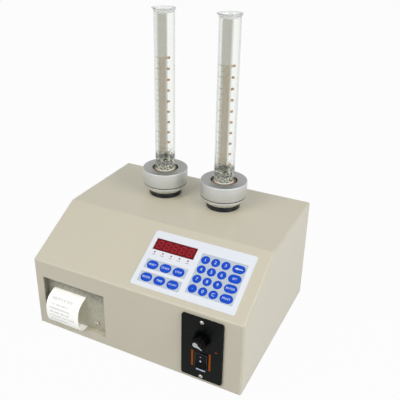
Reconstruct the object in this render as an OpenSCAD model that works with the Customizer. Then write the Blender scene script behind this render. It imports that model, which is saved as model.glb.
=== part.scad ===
// Bench tester that lifts and drops two glass measuring cylinders to find the tapped
// density of a powder: sheet steel housing, keypad, printer, cam drive and two clamps.
// X runs to the right, Y to the back and Z up, in millimetres. The origin is on the
// bench, below the middle of the whole object.

/* [Housing] */
// Width of the housing
body_w = 335; // [328:1:350]
// Depth of the housing from front to back
body_d = 264; // [260:1:280]
// Height of the upright front face
front_h = 113; // [110:1:118]
// Horizontal run of the sloping face
slope_run = 100; // [96:1:108]
// Height of the housing without its feet
top_h = 167; // [163:1:175]
// Thickness of the sheet steel
wall = 1.5; // [1.2:0.1:2]
// Outside radius of the folded edges
bend_r = 3; // [2.5:0.1:4]
// Width of the lips turned in at the bottom and at the back
lip_w = 12; // [10:1:15]
// Depth of the back panel inside the back edge
rear_recess = 2; // [1:0.5:3]
// Thickness of the back panel
rear_t = 1.5; // [1.2:0.1:2]
// Thickness of the base plate
base_t = 2; // [1.5:0.5:3]
// Gap between a panel's edge and the sheet round it
panel_gap = 0.3; // [0.2:0.1:0.5]

/* [Feet and screws] */
// Diameter of a rubber foot
foot_d = 20; // [16:1:24]
// Height of a rubber foot
foot_h = 6; // [4:1:10]
// Distance of the feet from the edges of the housing
foot_inset = 32; // [30:1:45]
// Shank diameter of the small screws
screw_d = 3; // [2.5:0.5:3.5]
// Head diameter of the small screws
screw_head_d = 5.8; // [5.4:0.2:6.6]
// Head height of the small screws
screw_head_h = 1.9; // [1.5:0.1:2.2]
// Gap round a screw or another fixed pin in its hole
seat_gap = 0.05; // [0.02:0.01:0.1]
// Gap all round a shaft, pin or plunger that moves in its bore
run_gap = 0.05; // [0.02:0.01:0.1]

/* [Keypad] */
// Width of the keypad overlay
overlay_w = 155.3; // [154:0.1:158]
// Length of the keypad overlay up the slope
overlay_l = 90; // [89:0.5:92]
// Distance of the overlay's left edge from the middle of the housing
overlay_left = 5.9; // [2:0.1:10]
// Distance of the overlay from the front edge of the slope
overlay_low = 9.7; // [6:0.1:11]
// Thickness of the overlay
overlay_t = 1; // [0.9:0.1:1.4]
// Corner radius of the overlay
overlay_r = 3; // [2:0.5:5]
// Diameter of a round key
key_d = 12.5; // [11:0.1:13]
// Width of an oval key of the number pad
oval_w = 18; // [16:0.5:18.5]
// Width of an oval key at the left
wide_key_w = 17; // [15:0.5:18]
// Height of an oval key at the left
wide_key_h = 13; // [12:0.5:14]
// Distance between number keys across
pad_pitch_u = 15.1; // [14.5:0.1:15.5]
// Distance between number keys up the slope
pad_pitch_v = 15.1; // [14:0.1:15.5]
// Distance between oval keys at the left, across
wide_pitch_u = 20.2; // [19:0.1:21]
// Distance between oval keys at the left, up the slope
wide_pitch_v = 20; // [18:0.5:21]
// Height of a key above the overlay
key_proud = 0.45; // [0.4:0.05:0.6]
// Thickness of a key
key_t = 1; // [0.9:0.05:1]
// Gap round a key in the overlay
key_gap = 0.15; // [0.1:0.05:0.25]
// Width of the display window
window_w = 64.1; // [62:0.1:66]
// Height of the display window up the slope
window_l = 18.8; // [17:0.1:20]
// Diameter of an indicator lamp
lamp_d = 2.4; // [2:0.1:3]
// Distance between indicator lamps
lamp_pitch = 13.05; // [12:0.05:14]
// Distance of the display board below the outer face of the slope
board_depth = 10; // [9:0.5:13]

/* [Printer] */
// Width of the printer recess
recess_w = 107.9; // [104:0.1:112]
// Height of the printer recess
recess_h = 71.7; // [70:0.1:74]
// Depth of the printer recess
recess_d = 8; // [7:0.5:10]
// Height of the recess sill above the housing's underside
recess_z = 14.5; // [12:0.5:18]
// Distance of the recess from the left side of the housing
recess_left = 14.4; // [12:0.1:20]
// Thickness of the printer plate
printer_plate_t = 2; // [1.5:0.5:3]
// Width of the paper
paper_w = 57.5; // [55:0.5:60]
// Thickness of the paper
paper_t = 0.3; // [0.2:0.05:0.4]
// Distance of the paper from the left side of the recess
paper_left = 12.8; // [11:0.1:16]
// Height of the paper slot above the sill
slot_rise = 51.5; // [50:0.5:54]
// Diameter of the paper roll
roll_d = 42; // [30:1:46]
// Diameter of the spindle that the paper roll turns on
spindle_d = 12; // [8:1:14]

/* [Speed control] */
// Width of the speed control plate
speed_w = 60; // [58:1:62]
// Height of the speed control plate
speed_h = 100; // [98:1:101]
// Thickness of the speed control plate
speed_t = 3; // [2:0.5:4]
// Distance of the plate's middle from the middle of the housing
speed_x = 110.4; // [106:0.1:116]
// Height of the plate's lower edge above the housing's underside
speed_low = 6.5; // [6:0.5:9]
// Distance between the two screws of the plate
speed_screw_pitch = 90; // [89:1:92]
// Diameter of the knob
knob_d = 24; // [20:1:26]
// Height of the knob
knob_h = 15; // [13:1:18]
// Height of the knob's axis above the plate's lower edge
knob_rise = 67.5; // [66:0.5:69]
// Diameter of the knob's spindle
knob_shaft_d = 6; // [5:0.5:7]
// Width of the speed control's rocker opening
rocker_w = 15.5; // [14:0.5:17]
// Height of the speed control's rocker opening
rocker_h = 23; // [20:0.5:24]
// Height of the rocker's pivot above the plate's lower edge
rocker_rise = 31; // [30:0.5:34]
// Turn of a rocker from one side to the other
rocker_turn = 16; // [10:1:18]
// Gap round a rocker in its frame
rocker_gap = 0.3; // [0.2:0.05:0.4]

/* [Cylinder holders] */
// Distance between the axes of the two glass cylinders
holder_pitch = 101.4; // [98:0.1:110]
// Distance of the cylinder axes behind the front face
holder_y = 193.5; // [188:0.5:200]
// Diameter of the black collar on the housing
collar_d = 52; // [46:1:56]
// Height of the black collar
collar_h = 8; // [6:0.5:10]
// Outside diameter of cup and clamp ring
clamp_d = 71; // [70:0.5:76]
// Height of the cup's cone
cup_cone_h = 9; // [7:0.5:11]
// Height of the cup's rim above its cone
cup_rim_h = 3.5; // [3:0.5:5]
// Height of the cup's solid base, on which the glass stands
cup_base_h = 20; // [18:0.5:20.5]
// Diameter of the cup's threaded neck
neck_d = 56; // [54:0.5:58]
// Height of the cup's threaded neck
neck_h = 16.5; // [15:0.5:18]
// Height of the clamp ring
ring_h = 23.2; // [22:0.1:25]
// Thickness of the clamp ring's top
ring_top_t = 6; // [5:0.5:7]
// Bore of the clamp ring round the glass
ring_bore_d = 41; // [38:0.5:43]
// Gap between cup and clamp ring
clamp_gap = 0.3; // [0.2:0.1:0.5]
// Thickness of the rubber grip ring
grip_h = 5.5; // [4.5:0.5:6]
// Distance of the grip ring's lip below the top of the clamp ring
grip_lip_drop = 1.5; // [1:0.5:4]
// Diameter of the seat of the grip ring in the cup's neck
grip_seat_d = 48; // [47:0.5:50]
// Gap round the glass in its seat and in the grip ring
glass_gap = 0.2; // [0.15:0.05:0.4]

/* [Glass cylinders] */
// Outside diameter of the glass
glass_d = 30.8; // [28:0.1:32]
// Wall of the glass
glass_wall = 1.4; // [1.2:0.1:2]
// Thickness of the glass base
glass_base = 22; // [18:1:24]
// Length of the glass cylinder
glass_l = 258; // [240:1:270]
// How far the glass rim flares out
rim_out = 1.8; // [1:0.1:2.5]
// How far the spout reaches beyond the glass
spout_out = 5; // [4:0.5:7]

/* [Tapping drive] */
// Height that a cup is raised before it drops
tap_h = 3; // [2:0.5:4]
// Turn of the cam in which the cup is raised
rise_turn = 320; // [310:5:320]
// Smallest radius of a cam
cam_r = 20; // [19:0.5:21]
// Thickness of a cam
cam_t = 12; // [10:1:14]
// Gap between a cam and the plunger's foot at rest
cam_gap = 0.3; // [0.2:0.1:0.5]
// Distance of the camshaft below the top of the housing
shaft_drop = 77; // [75:1:81]
// Diameter of the camshaft
shaft_d = 10; // [8:1:12]
// Diameter of a plunger
plunger_d = 12; // [10:1:12]
// Depth of the plunger's screwed end in the cup
plunger_grip = 12; // [10:1:14]
// Diameter of the guide bush in the tapping plate
bush_d = 34; // [28:1:36]
// Length of the guide bush below the tapping plate
bush_below = 6; // [4:1:10]
// Thickness of the tapping plate
plate_t = 10; // [8:1:12]
// Width of the tapping plate from front to back
plate_l = 64; // [62:1:72]
// Distance of the side frames' inner faces from the middle
frame_x = 86; // [84:1:90]
// Thickness of a side frame
frame_t = 5; // [4:0.5:6]
// Module of the gear teeth
gear_module = 1.5; // [1.4:0.05:1.55]
// Teeth on the drive gear
gear_teeth = 56; // [54:1:58]
// Teeth on the motor pinion
pinion_teeth = 24; // [22:1:26]
// Width of the drive gear's teeth
gear_w = 8; // [6:1:10]
// Play between meshing teeth at the pitch circle
backlash = 0.3; // [0.25:0.05:0.4]
// Diameter of the motor's output shaft
motor_shaft_d = 8; // [6:1:10]
// Diameter of the gearbox on the motor
gearbox_d = 54; // [50:1:58]
// Diameter of the motor
motor_d = 42; // [36:1:46]
// Length of gearbox and motor together
motor_l = 84; // [70:1:95]

/* [Mains connection] */
// Width of the inlet's flange
inlet_w = 48; // [46:1:52]
// Height of the inlet's flange
inlet_h = 60; // [58:1:64]
// Thickness of the inlet's flange
inlet_t = 2.5; // [2:0.5:3]
// Distance of the inlet from the middle of the housing
inlet_x = 112; // [100:1:120]
// Height of the inlet's middle above the housing's underside
inlet_z = 52; // [46:1:60]
// Width of the mains rocker opening
mains_rocker_w = 22; // [20:0.5:23]
// Height of the mains rocker opening
mains_rocker_h = 15; // [13:0.5:16]

/* [Hidden] */
$fn = 64;
// Overlap of a cutting tool past the face that it cuts
cut = 1;
slope_a = atan2(top_h - front_h, slope_run);
in_w = body_w - 2 * wall;
rear_y = body_d - rear_recess - rear_t;

// Rocker and its frame: the pivot lies below the frame's rim, and each half of the
// rocker's face slopes up from the middle
pivot_d = 2;
pivot_out = 1.5;
pivot_sink = 2;
bezel_w = 1.5;
bezel_h = 1.5;
rock_depth = 7;
rocker_face = 2.2;

// Highest corner of a rocker of opening height h at mid turn, as [along, out] from the pivot
function rocker_corner(h) =
  let (r = h / 2 - rocker_gap, t = tan(rocker_turn / 2), k = 1 + t * t,
    z = (sqrt(k * (r * r - pow(rocker_face, 2)) + pow(rocker_face * t, 2)) - rocker_face * t) / k)
  [z, rocker_face + z * t];

// How far a rocker stands out from its pivot at the end of its turn
function rocker_reach(h) =
  rocker_corner(h) * [sin(rocker_turn / 2), cos(rocker_turn / 2)];

// The whole object reaches from the knob's face to the mains rocker
knob_lift = 0.4;
front_reach = speed_t + knob_lift + knob_h;
mains_pivot_out = inlet_t + bezel_h - pivot_sink;
rear_reach = max(0, mains_pivot_out + rocker_reach(mains_rocker_h) - rear_recess);
front_y = -(body_d + rear_reach - front_reach) / 2;

// Centres of the folded edges in the housing's outline, as distance back and height
fold_points = [
  [bend_r, -bend_r],
  [bend_r, front_h - bend_r * (1 - sin(slope_a)) / cos(slope_a)],
  [(bend_r + (top_h - bend_r - front_h) * cos(slope_a)) / sin(slope_a), top_h - bend_r],
  [body_d + bend_r, top_h - bend_r],
  [body_d + bend_r, -bend_r]
];

// Keypad places, as distance from the middle and distance up the slope
pad_u = 88.1 - overlay_left;
pad_v = overlay_low + 18.9;
oval_u = pad_u + 2 * pad_pitch_u + 18.6;
wide_u = 19.5 - overlay_left;
wide_v = overlay_low + 15.3;
window_u = 7.2 - overlay_left;
window_v = overlay_low + 59;
lamp_u = 13.1 - overlay_left;
lamp_v = overlay_low + 55.3;
key_low = overlay_t + key_proud - key_t;

pad_names = [
  ["key_point", "key_0", "key_clear"],
  ["key_7", "key_8", "key_9"],
  ["key_4", "key_5", "key_6"],
  ["key_1", "key_2", "key_3"]
];
oval_names = ["key_print", "key_enter", "key_set", "key_shift"];
wide_names = [
  ["key_mode", "key_time", "key_count"],
  ["key_reset", "key_start", "key_stop"]
];
// Each key as its name, place across, place up the slope, width and height
KEYS = concat(
  [for (r = [0:3], c = [0:2])
    [pad_names[r][c], pad_u + c * pad_pitch_u, pad_v + r * pad_pitch_v, key_d, key_d]],
  [for (r = [0:3]) [oval_names[r], oval_u, pad_v + r * pad_pitch_v, oval_w, key_d]],
  [for (r = [0:1], c = [0:2])
    [wide_names[r][c], wide_u + c * wide_pitch_u, wide_v + r * wide_pitch_v,
      wide_key_w, wide_key_h]]
);

// Printer places
recess_x = -body_w / 2 + recess_left + recess_w / 2;
paper_x = -body_w / 2 + recess_left + paper_left + paper_w / 2;
slot_z = recess_z + slot_rise;
slot_h = 2.4;
plate_back = recess_d + printer_plate_t;
printer_screw_dx = 35.4;
printer_screw_z = recess_z + 12.5;
flange_t = 0.8;
head_rise = 12;
head_drop = 14;
bracket_side = 6;
cheek_t = 3;
cheek_gap = 2;
roll_y = plate_back + 75;
roll_z = slot_z - roll_d / 2 - 2;
head_d = 38;

// Speed control places
speed_z = speed_low + speed_h / 2;
knob_z = speed_low + knob_rise;
rocker_z = speed_low + rocker_rise;
control_w = 52;
control_h = 80;
control_d = 40;

// Holder heights above the top of the housing
cup_z = collar_h;
cone_top = cup_z + cup_cone_h;
cup_rim_z = cone_top + cup_rim_h;
floor_z = cup_z + cup_base_h;
neck_top = cup_rim_z + neck_h;
ring_z = cup_rim_z + clamp_gap;
ring_top = ring_z + ring_h;
ring_under = ring_top - ring_top_t;
washer_t = ring_under - neck_top + 0.5;
grip_top = ring_under - washer_t;
grip_z = grip_top - grip_h;

// Lengths of the screws past the sheets they hold
screw_end = 2;
motor_screw_grip = 5;
frame_screw_grip = 8;
screw_washer_t = 0.8;

// Drive places
shaft_z = top_h - shaft_drop;
plate_top = top_h - wall;
plate_low = plate_top - plate_t;
foot_z = shaft_z + cam_r + cam_gap;
pitch_r = gear_module * gear_teeth / 2;
pinion_r = gear_module * pinion_teeth / 2;
gear_distance = pitch_r + pinion_r;
motor_a = 225;
motor_y = holder_y + gear_distance * cos(motor_a);
motor_z = shaft_z + gear_distance * sin(motor_a);
frame_out = frame_x + frame_t;
gear_gap = 3;
gear_x = -frame_out - gear_gap - gear_w;
bearing_d = shaft_d + 6;
cam_dwell = (360 - rise_turn) / 2;
pressure_a = 20;

// Colours
beige = [0.82, 0.79, 0.71];
hammertone = [0.52, 0.52, 0.47];
satin = [0.72, 0.72, 0.71];
steel = [0.6, 0.6, 0.62];
black = [0.06, 0.06, 0.07];
rubber = [0.12, 0.12, 0.12];
amber = [0.55, 0.42, 0.2];
glass = [0.8, 0.9, 0.88, 0.4];
brass = [0.75, 0.6, 0.3];
board_green = [0.1, 0.35, 0.2];
key_blue = [0.08, 0.2, 0.75];

// Frames of reference

// The housing's own frame: middle of its width, front face, underside
module place() {
  translate([0, front_y, foot_h])
    children();
}

// On the front face: X to the right, Y up, Z out of the face
module on_front(x, z) {
  place()
    translate([x, 0, z])
      rotate([90, 0, 0])
        children();
}

// On the back panel's outer face: X to the left, Y up, Z out of the face
module on_rear(x, z) {
  place()
    translate([x, rear_y + rear_t, z])
      rotate([90, 0, 180])
        children();
}

// On the sloping face: X to the right, Y up the slope, Z out of the face
module on_slope() {
  place()
    translate([0, 0, front_h])
      rotate([slope_a, 0, 0])
        children();
}

// On the axis of one holder, at the top of the housing
module on_holder(side) {
  place()
    translate([side * holder_pitch / 2, holder_y, top_h])
      children();
}

// Turns an outline drawn as distance back and height, and extrudes it to the right
module across(x, w) {
  translate([x, 0, 0])
    rotate([90, 0, 90])
      linear_extrude(w)
        children();
}

// Turns an outline drawn as X and height, and extrudes it to the front from y
module upright(y, t) {
  translate([0, y, 0])
    rotate([90, 0, 0])
      linear_extrude(t)
        children();
}

// Shared outlines

module rounded_rect(w, h, r) {
  square([w - 2 * r, h], center = true);
  square([w, h - 2 * r], center = true);
  for (x = [-1, 1], y = [-1, 1])
    translate([x * (w / 2 - r), y * (h / 2 - r)])
      circle(r, $fn = 48);
}

module slab(w, h, t, r) {
  linear_extrude(t)
    rounded_rect(w, h, r);
}

// Outline of a key that may be grown all round
module key_outline(k, grow) {
  translate([k[1], k[2]])
    if (k[3] > k[4]) {
      square([k[3] - k[4], k[4] + 2 * grow], center = true);
      for (x = [-1, 1])
        translate([x * (k[3] - k[4]) / 2, 0])
          circle(k[4] / 2 + grow);
    } else {
      circle(k[3] / 2 + grow);
    }
}

module screw_hole(depth) {
  translate([0, 0, -depth])
    cylinder(d = screw_d + 2 * seat_gap, h = depth + cut, $fn = 24);
}

// Pan head screw with a cross recess, its seat at the origin and its head above it
module pan_screw(length) {
  difference() {
    union() {
      cylinder(d = screw_head_d, h = screw_head_h * 0.45, $fn = 36);
      translate([0, 0, screw_head_h * 0.45])
        cylinder(d1 = screw_head_d, d2 = screw_head_d * 0.55, h = screw_head_h * 0.55, $fn = 36);
      translate([0, 0, -length])
        cylinder(d = screw_d, h = length, $fn = 24);
    }
    for (a = [0, 90])
      rotate(a)
        translate([-1.2, -0.3, screw_head_h - 1])
          cube([2.4, 0.6, 1 + cut]);
  }
}

// Washer under a screw head, on the seat at the origin
module screw_washer() {
  difference() {
    cylinder(d = screw_head_d * 1.5, h = screw_washer_t, $fn = 48);
    translate([0, 0, -cut])
      cylinder(d = screw_d + 4 * seat_gap, h = screw_washer_t + 2 * cut, $fn = 24);
  }
}

// Rocker on its pivot, at the origin, in its rest position with its upper end pressed in
module rocker(w, h) {
  r = h / 2 - rocker_gap;
  rotate([-rocker_turn / 2, 0, 0]) {
    intersection() {
      across(-w / 2 + rocker_gap, w - 2 * rocker_gap)
        circle(r, $fn = 96);
      across(-w / 2, w)
        polygon([[-r, -4], [r, -4], [r, rocker_face + r * tan(rocker_turn / 2)],
          [0, rocker_face], [-r, rocker_face + r * tan(rocker_turn / 2)]]);
    }
    translate([-w / 2 - pivot_out + seat_gap, 0, 0])
      rotate([0, 90, 0])
        cylinder(d = pivot_d, h = w + 2 * pivot_out - 2 * seat_gap, $fn = 32);
  }
}

// Frame that a rocker turns in, standing on the face at the origin, open to the front
module rocker_frame(w, h, depth) {
  difference() {
    translate([0, 0, -depth])
      slab(w + 2 * bezel_w, h + 2 * bezel_w, depth + bezel_h, 1);
    translate([-w / 2, -h / 2, bezel_h - pivot_sink - rock_depth])
      cube([w, h, rock_depth + pivot_sink + cut]);
    translate([-w / 2 - pivot_out, 0, bezel_h - pivot_sink])
      rotate([0, 90, 0])
        cylinder(d = pivot_d + 2 * run_gap, h = w + 2 * pivot_out, $fn = 32);
  }
}

// Housing

// Side outline of the housing, as distance back and height, with its rounded folds
module side_outline(inset) {
  r = bend_r - inset;
  n = len(fold_points);
  polygon(fold_points);
  for (i = [0:n - 2])
    let (p = fold_points[i], q = fold_points[i + 1], out = [-unit(q - p)[1], unit(q - p)[0]] * r)
      polygon([p, q, q + out, p + out]);
  for (i = [1:n - 2])
    translate(fold_points[i])
      circle(r, $fn = 96);
}

// Solid with rounded long edges, as wide as the housing, its outer face at Z 0
module wide_bar(inset) {
  translate([0, -body_d, -body_d])
    rotate([-90, 0, 0])
      linear_extrude(3 * body_d)
        rounded_rect(body_w - 2 * inset, 2 * body_d - 2 * inset, bend_r - inset);
}

// The folded form of the housing, open-ended below and at the back. The side outline
// gives the folds between its faces, and the three bars round the edges of its sides.
module folded_form(inset) {
  intersection() {
    across(-body_w / 2, body_w)
      side_outline(inset);
    translate([0, 0, top_h])
      wide_bar(inset);
    translate([0, 0, front_h])
      rotate([slope_a, 0, 0])
        wide_bar(inset);
    rotate([90, 0, 0])
      wide_bar(inset);
  }
}

module bottom_lips() {
  translate([0, 0, base_t])
    linear_extrude(wall)
      difference() {
        translate([0, rear_y / 2])
          rounded_rect(body_w - wall, rear_y - wall, bend_r - wall / 2);
        translate([0, rear_y / 2 + wall + lip_w])
          square([in_w - 2 * lip_w, rear_y], center = true);
      }
}

module rear_lips() {
  upright(rear_y, wall)
    difference() {
      translate([0, top_h / 2])
        rounded_rect(body_w - wall, top_h - wall, bend_r - wall / 2);
      translate([0, (top_h - wall - lip_w) / 2 - cut])
        square([in_w - 2 * lip_w, top_h - wall - lip_w + 2 * cut], center = true);
      translate([0, base_t / 2])
        square([in_w, base_t + wall + panel_gap], center = true);
    }
}

module housing() {
  color(beige)
    difference() {
      place()
        union() {
          difference() {
            intersection() {
              folded_form(0);
              translate([-body_w / 2, 0, 0])
                cube([body_w, body_d, top_h]);
            }
            folded_form(wall);
          }
          bottom_lips();
          rear_lips();
          recess_box(wall, 0);
        }
      place()
        recess_box(0, cut);
      on_slope() {
        translate([window_u + window_w / 2, window_v + window_l / 2, -wall - cut])
          linear_extrude(wall + 2 * cut)
            square([window_w + 2 * panel_gap, window_l + 2 * panel_gap], center = true);
        for (i = [0:4])
          translate([lamp_u + i * lamp_pitch, lamp_v, -wall - cut])
            cylinder(d = lamp_d + 2 * seat_gap, h = wall + 2 * cut, $fn = 24);
      }
      on_front(speed_x, speed_z)
        translate([0, 0, -wall - cut])
          linear_extrude(wall + 2 * cut)
            square([control_w + 2 * panel_gap, control_h + 2 * panel_gap], center = true);
      speed_screws()
        screw_hole(wall + speed_t + cut);
      for (side = [-1, 1])
        on_holder(side)
          translate([0, 0, -wall - cut])
            cylinder(d = bush_d + 2 * seat_gap, h = wall + 2 * cut);
      rear_upper_screws()
        screw_hole(rear_t + wall + cut);
      base_screws()
        screw_hole(base_t + wall + cut);
    }
}

// Solid of the printer recess, grown by the sheet or cut past the front face
module recess_box(grow, past) {
  translate([recess_x - recess_w / 2 - grow, wall / 2 - past * wall, recess_z - grow])
    cube([recess_w + 2 * grow, recess_d - wall / 2 + 2 * past * wall, recess_h + 2 * grow]);
}

module base_plate() {
  color(steel)
    difference() {
      place()
        union() {
          translate([0, (wall + panel_gap + body_d - panel_gap) / 2, 0])
            slab(in_w - 2 * panel_gap, body_d - wall - 2 * panel_gap, base_t, bend_r - wall);
          translate([-(in_w / 2 - lip_w - cut), rear_y - base_t, 0])
            cube([in_w - 2 * lip_w - 2 * cut, base_t, base_t + lip_w]);
        }
      base_screws()
        screw_hole(base_t + wall + cut);
      rear_lower_screws()
        screw_hole(rear_t + base_t + cut);
      place()
        foot_places()
          translate([0, 0, -cut])
            cylinder(d = foot_stud_d + 2 * seat_gap, h = base_t + 2 * cut, $fn = 32);
    }
}
foot_stud_d = 6;

module foot_places() {
  for (x = [-1, 1], y = [foot_inset, body_d - foot_inset])
    translate([x * (body_w / 2 - foot_inset), y, 0])
      children();
}

module rubber_feet() {
  color(rubber)
    place()
      foot_places() {
        translate([0, 0, -foot_h])
          cylinder(d1 = foot_d - 2, d2 = foot_d, h = foot_h, $fn = 48);
        cylinder(d = foot_stud_d, h = base_t, $fn = 32);
        translate([0, 0, base_t])
          cylinder(d1 = foot_stud_d + 3, d2 = foot_stud_d - 1, h = 3, $fn = 32);
      }
}

module rear_panel() {
  low = base_t;
  high = top_h - wall - panel_gap;
  vent_w = in_w * 0.21;
  vent_h = 2.6;
  vent_pitch = 6;
  vents = 6;
  color(beige)
    difference() {
      place()
        upright(rear_y + rear_t, rear_t)
          difference() {
            translate([0, (low + high) / 2])
              rounded_rect(in_w - 2 * panel_gap, high - low, bend_r - wall);
            for (side = [-1, 1], row = [0:vents - 1])
              translate([side * vent_w * 0.89, top_h - lip_w - 10 - row * vent_pitch])
                rounded_rect(vent_w, vent_h, vent_h / 2 - 0.1);
            translate([inlet_x, inlet_z])
              square([inlet_w - 4, inlet_h - 8], center = true);
          }
      rear_upper_screws()
        screw_hole(rear_t + wall + cut);
      rear_lower_screws()
        screw_hole(rear_t + base_t + cut);
      inlet_screws()
        screw_hole(inlet_t + rear_t + cut);
    }
}

// Screws

module speed_screws() {
  for (side = [-1, 1])
    on_front(speed_x, speed_z + side * speed_screw_pitch / 2)
      translate([0, 0, speed_t])
        children();
}

module printer_screws() {
  for (side = [-1, 1])
    on_front(recess_x + side * printer_screw_dx, printer_screw_z)
      translate([0, 0, -recess_d])
        children();
}

module rear_upper_screws() {
  for (side = [-1, 1])
    on_rear(side * (in_w / 2 - lip_w / 2), top_h * 0.8)
      children();
}

module rear_lower_screws() {
  for (side = [-1, 1])
    on_rear(side * (in_w / 2 - lip_w * 2), base_t + lip_w / 2)
      children();
}

module inlet_screws() {
  for (side = [-1, 1])
    on_rear(inlet_x, inlet_z + side * (inlet_h / 2 - 4))
      translate([0, 0, inlet_t])
        children();
}

module base_screws() {
  place()
    for (x = [-1, 1], y = [body_d * 0.12, body_d * 0.72])
      translate([x * (in_w / 2 - lip_w / 2), y, 0])
        rotate([180, 0, 0])
          children();
}

module motor_screws() {
  place()
    for (a = [30, 150, 270])
      translate([-frame_out, motor_y + gearbox_d * 0.38 * cos(a), motor_z + gearbox_d * 0.38 * sin(a)])
        rotate([0, -90, 0])
          children();
}

module plate_screws() {
  place()
    for (x = [-1, 1], y = [-1, 1])
      translate([x * (frame_x + frame_t / 2), holder_y + y * plate_l * 0.34, plate_top - plate_t / 2])
        children();
}

module screws() {
  color(steel) {
    speed_screws()
      pan_screw(speed_t + wall + screw_end);
    printer_screws() {
      screw_washer();
      translate([0, 0, screw_washer_t + seat_gap])
        pan_screw(printer_plate_t + screw_end + screw_washer_t);
    }
    rear_upper_screws()
      pan_screw(rear_t + wall + screw_end);
    rear_lower_screws()
      pan_screw(rear_t + base_t + screw_end);
    inlet_screws()
      pan_screw(inlet_t + rear_t + screw_end);
    base_screws()
      pan_screw(base_t + wall + screw_end);
    motor_screws()
      pan_screw(frame_t + motor_screw_grip);
    plate_screws()
      pan_screw(plate_t / 2 + frame_screw_grip);
  }
}

// Keypad and display

module keypad_overlay() {
  color("white")
    on_slope()
      linear_extrude(overlay_t)
        difference() {
          translate([overlay_w / 2 - overlay_left, overlay_low + overlay_l / 2])
            rounded_rect(overlay_w, overlay_l, overlay_r);
          for (k = KEYS)
            key_outline(k, key_gap);
          translate([window_u, window_v])
            square([window_w, window_l]);
          for (i = [0:4])
            translate([lamp_u + i * lamp_pitch, lamp_v])
              circle(d = lamp_d + 2 * seat_gap, $fn = 24);
        }
}

module key(k) {
  color(key_blue)
    on_slope()
      translate([0, 0, key_low])
        linear_extrude(key_t)
          key_outline(k, 0);
}

module display_module() {
  post_d = 6;
  post_inset = 4;
  board_t = 1.6;
  board_inset = [4, 6];
  color(board_green)
    on_slope() {
      translate([overlay_w / 2 - overlay_left, overlay_low + overlay_l / 2, -board_depth])
        slab(overlay_w - 2 * board_inset[0], overlay_l - 2 * board_inset[1], board_t, 2);
      for (x = [-1, 1], y = [-1, 1])
        translate([overlay_w / 2 - overlay_left + x * (overlay_w / 2 - board_inset[0] - post_inset),
          overlay_low + overlay_l / 2 + y * (overlay_l / 2 - board_inset[1] - post_inset), -board_depth])
          cylinder(d = post_d, h = board_depth - wall - seat_gap, $fn = 24);
      translate([window_u + panel_gap, window_v + panel_gap, -board_depth + board_t / 2])
        cube([window_w - 2 * panel_gap, window_l - 2 * panel_gap,
          board_depth - board_t / 2 + overlay_t - 0.3]);
      for (i = [0:4])
        translate([lamp_u + i * lamp_pitch, lamp_v, -board_depth + board_t / 2])
          cylinder(d = lamp_d, h = board_depth - board_t / 2 + overlay_t, $fn = 24);
    }
}

// Printer

module printer_plate() {
  color(hammertone)
    difference() {
      place() {
        upright(plate_back, printer_plate_t)
          difference() {
            translate([recess_x, recess_z + recess_h / 2])
              square([recess_w + 2 * wall, recess_h + 2 * wall], center = true);
            translate([paper_x, slot_z])
              square([paper_w + 3, slot_h], center = true);
          }
        for (side = [-1, 1])
          translate([recess_x + side * (recess_w / 2 - panel_gap - flange_t / 2) - flange_t / 2,
            wall, recess_z + panel_gap])
            cube([flange_t, plate_back - wall - printer_plate_t / 2, recess_h - 2 * panel_gap]);
      }
      printer_screws()
        screw_hole(printer_plate_t + cut);
    }
}

module printer_mechanism() {
  cheek_x = paper_w / 2 + cheek_gap;
  inner_w = 2 * cheek_x + cheek_t;
  tail = roll_y + roll_d * 0.35;
  foot_y = wall + lip_w + 1;
  lip_top = base_t + wall;
  head_low = slot_z - head_drop;
  head_top = slot_z + head_rise;
  bracket_x = 2 * (printer_screw_dx + bracket_side);
  bracket_t = 6;
  floor_l = 20;
  floor_t = 2;
  color(black)
    difference() {
      place() {
        translate([paper_x - inner_w / 2, plate_back, head_low])
          cube([inner_w, head_d, head_top - head_low]);
        for (side = [0, 1])
          across(paper_x + (side == 0 ? -cheek_x - cheek_t : cheek_x), cheek_t)
            polygon([[plate_back, lip_top], [foot_y, lip_top], [foot_y, base_t], [tail, base_t],
              [tail, roll_z + 8], [roll_y, roll_z + spindle_d / 2 + 8],
              [plate_back + head_d, head_top], [plate_back, head_top]]);
        translate([paper_x - inner_w / 2, roll_y, roll_z])
          rotate([0, 90, 0])
            cylinder(d = spindle_d, h = inner_w, $fn = 48);
        translate([paper_x - inner_w / 2, roll_y - floor_l, base_t])
          cube([inner_w, tail - roll_y + floor_l, floor_t]);
        translate([recess_x - bracket_x / 2, plate_back, lip_top])
          cube([bracket_x, bracket_t, printer_screw_z + bracket_t - lip_top]);
      }
      place()
        translate([paper_x - paper_w / 2 - 1, plate_back - cut, slot_z - slot_h / 2])
          cube([paper_w + 2, head_d + 2 * cut, slot_h]);
      printer_screws()
        screw_hole(printer_plate_t + bracket_t);
    }
}

module paper_roll() {
  color("white")
    place()
      translate([paper_x - paper_w / 2, roll_y, roll_z])
        rotate([0, 90, 0])
          difference() {
            cylinder(d = roll_d, h = paper_w, $fn = 96);
            translate([0, 0, -cut])
              cylinder(d = spindle_d + 2 * run_gap, h = paper_w + 2 * cut, $fn = 48);
          }
}

// Point at share t along a cubic curve with four control points
function curve_point(p, t) =
  pow(1 - t, 3) * p[0] + 3 * pow(1 - t, 2) * t * p[1]
  + 3 * (1 - t) * pow(t, 2) * p[2] + pow(t, 3) * p[3];

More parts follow.
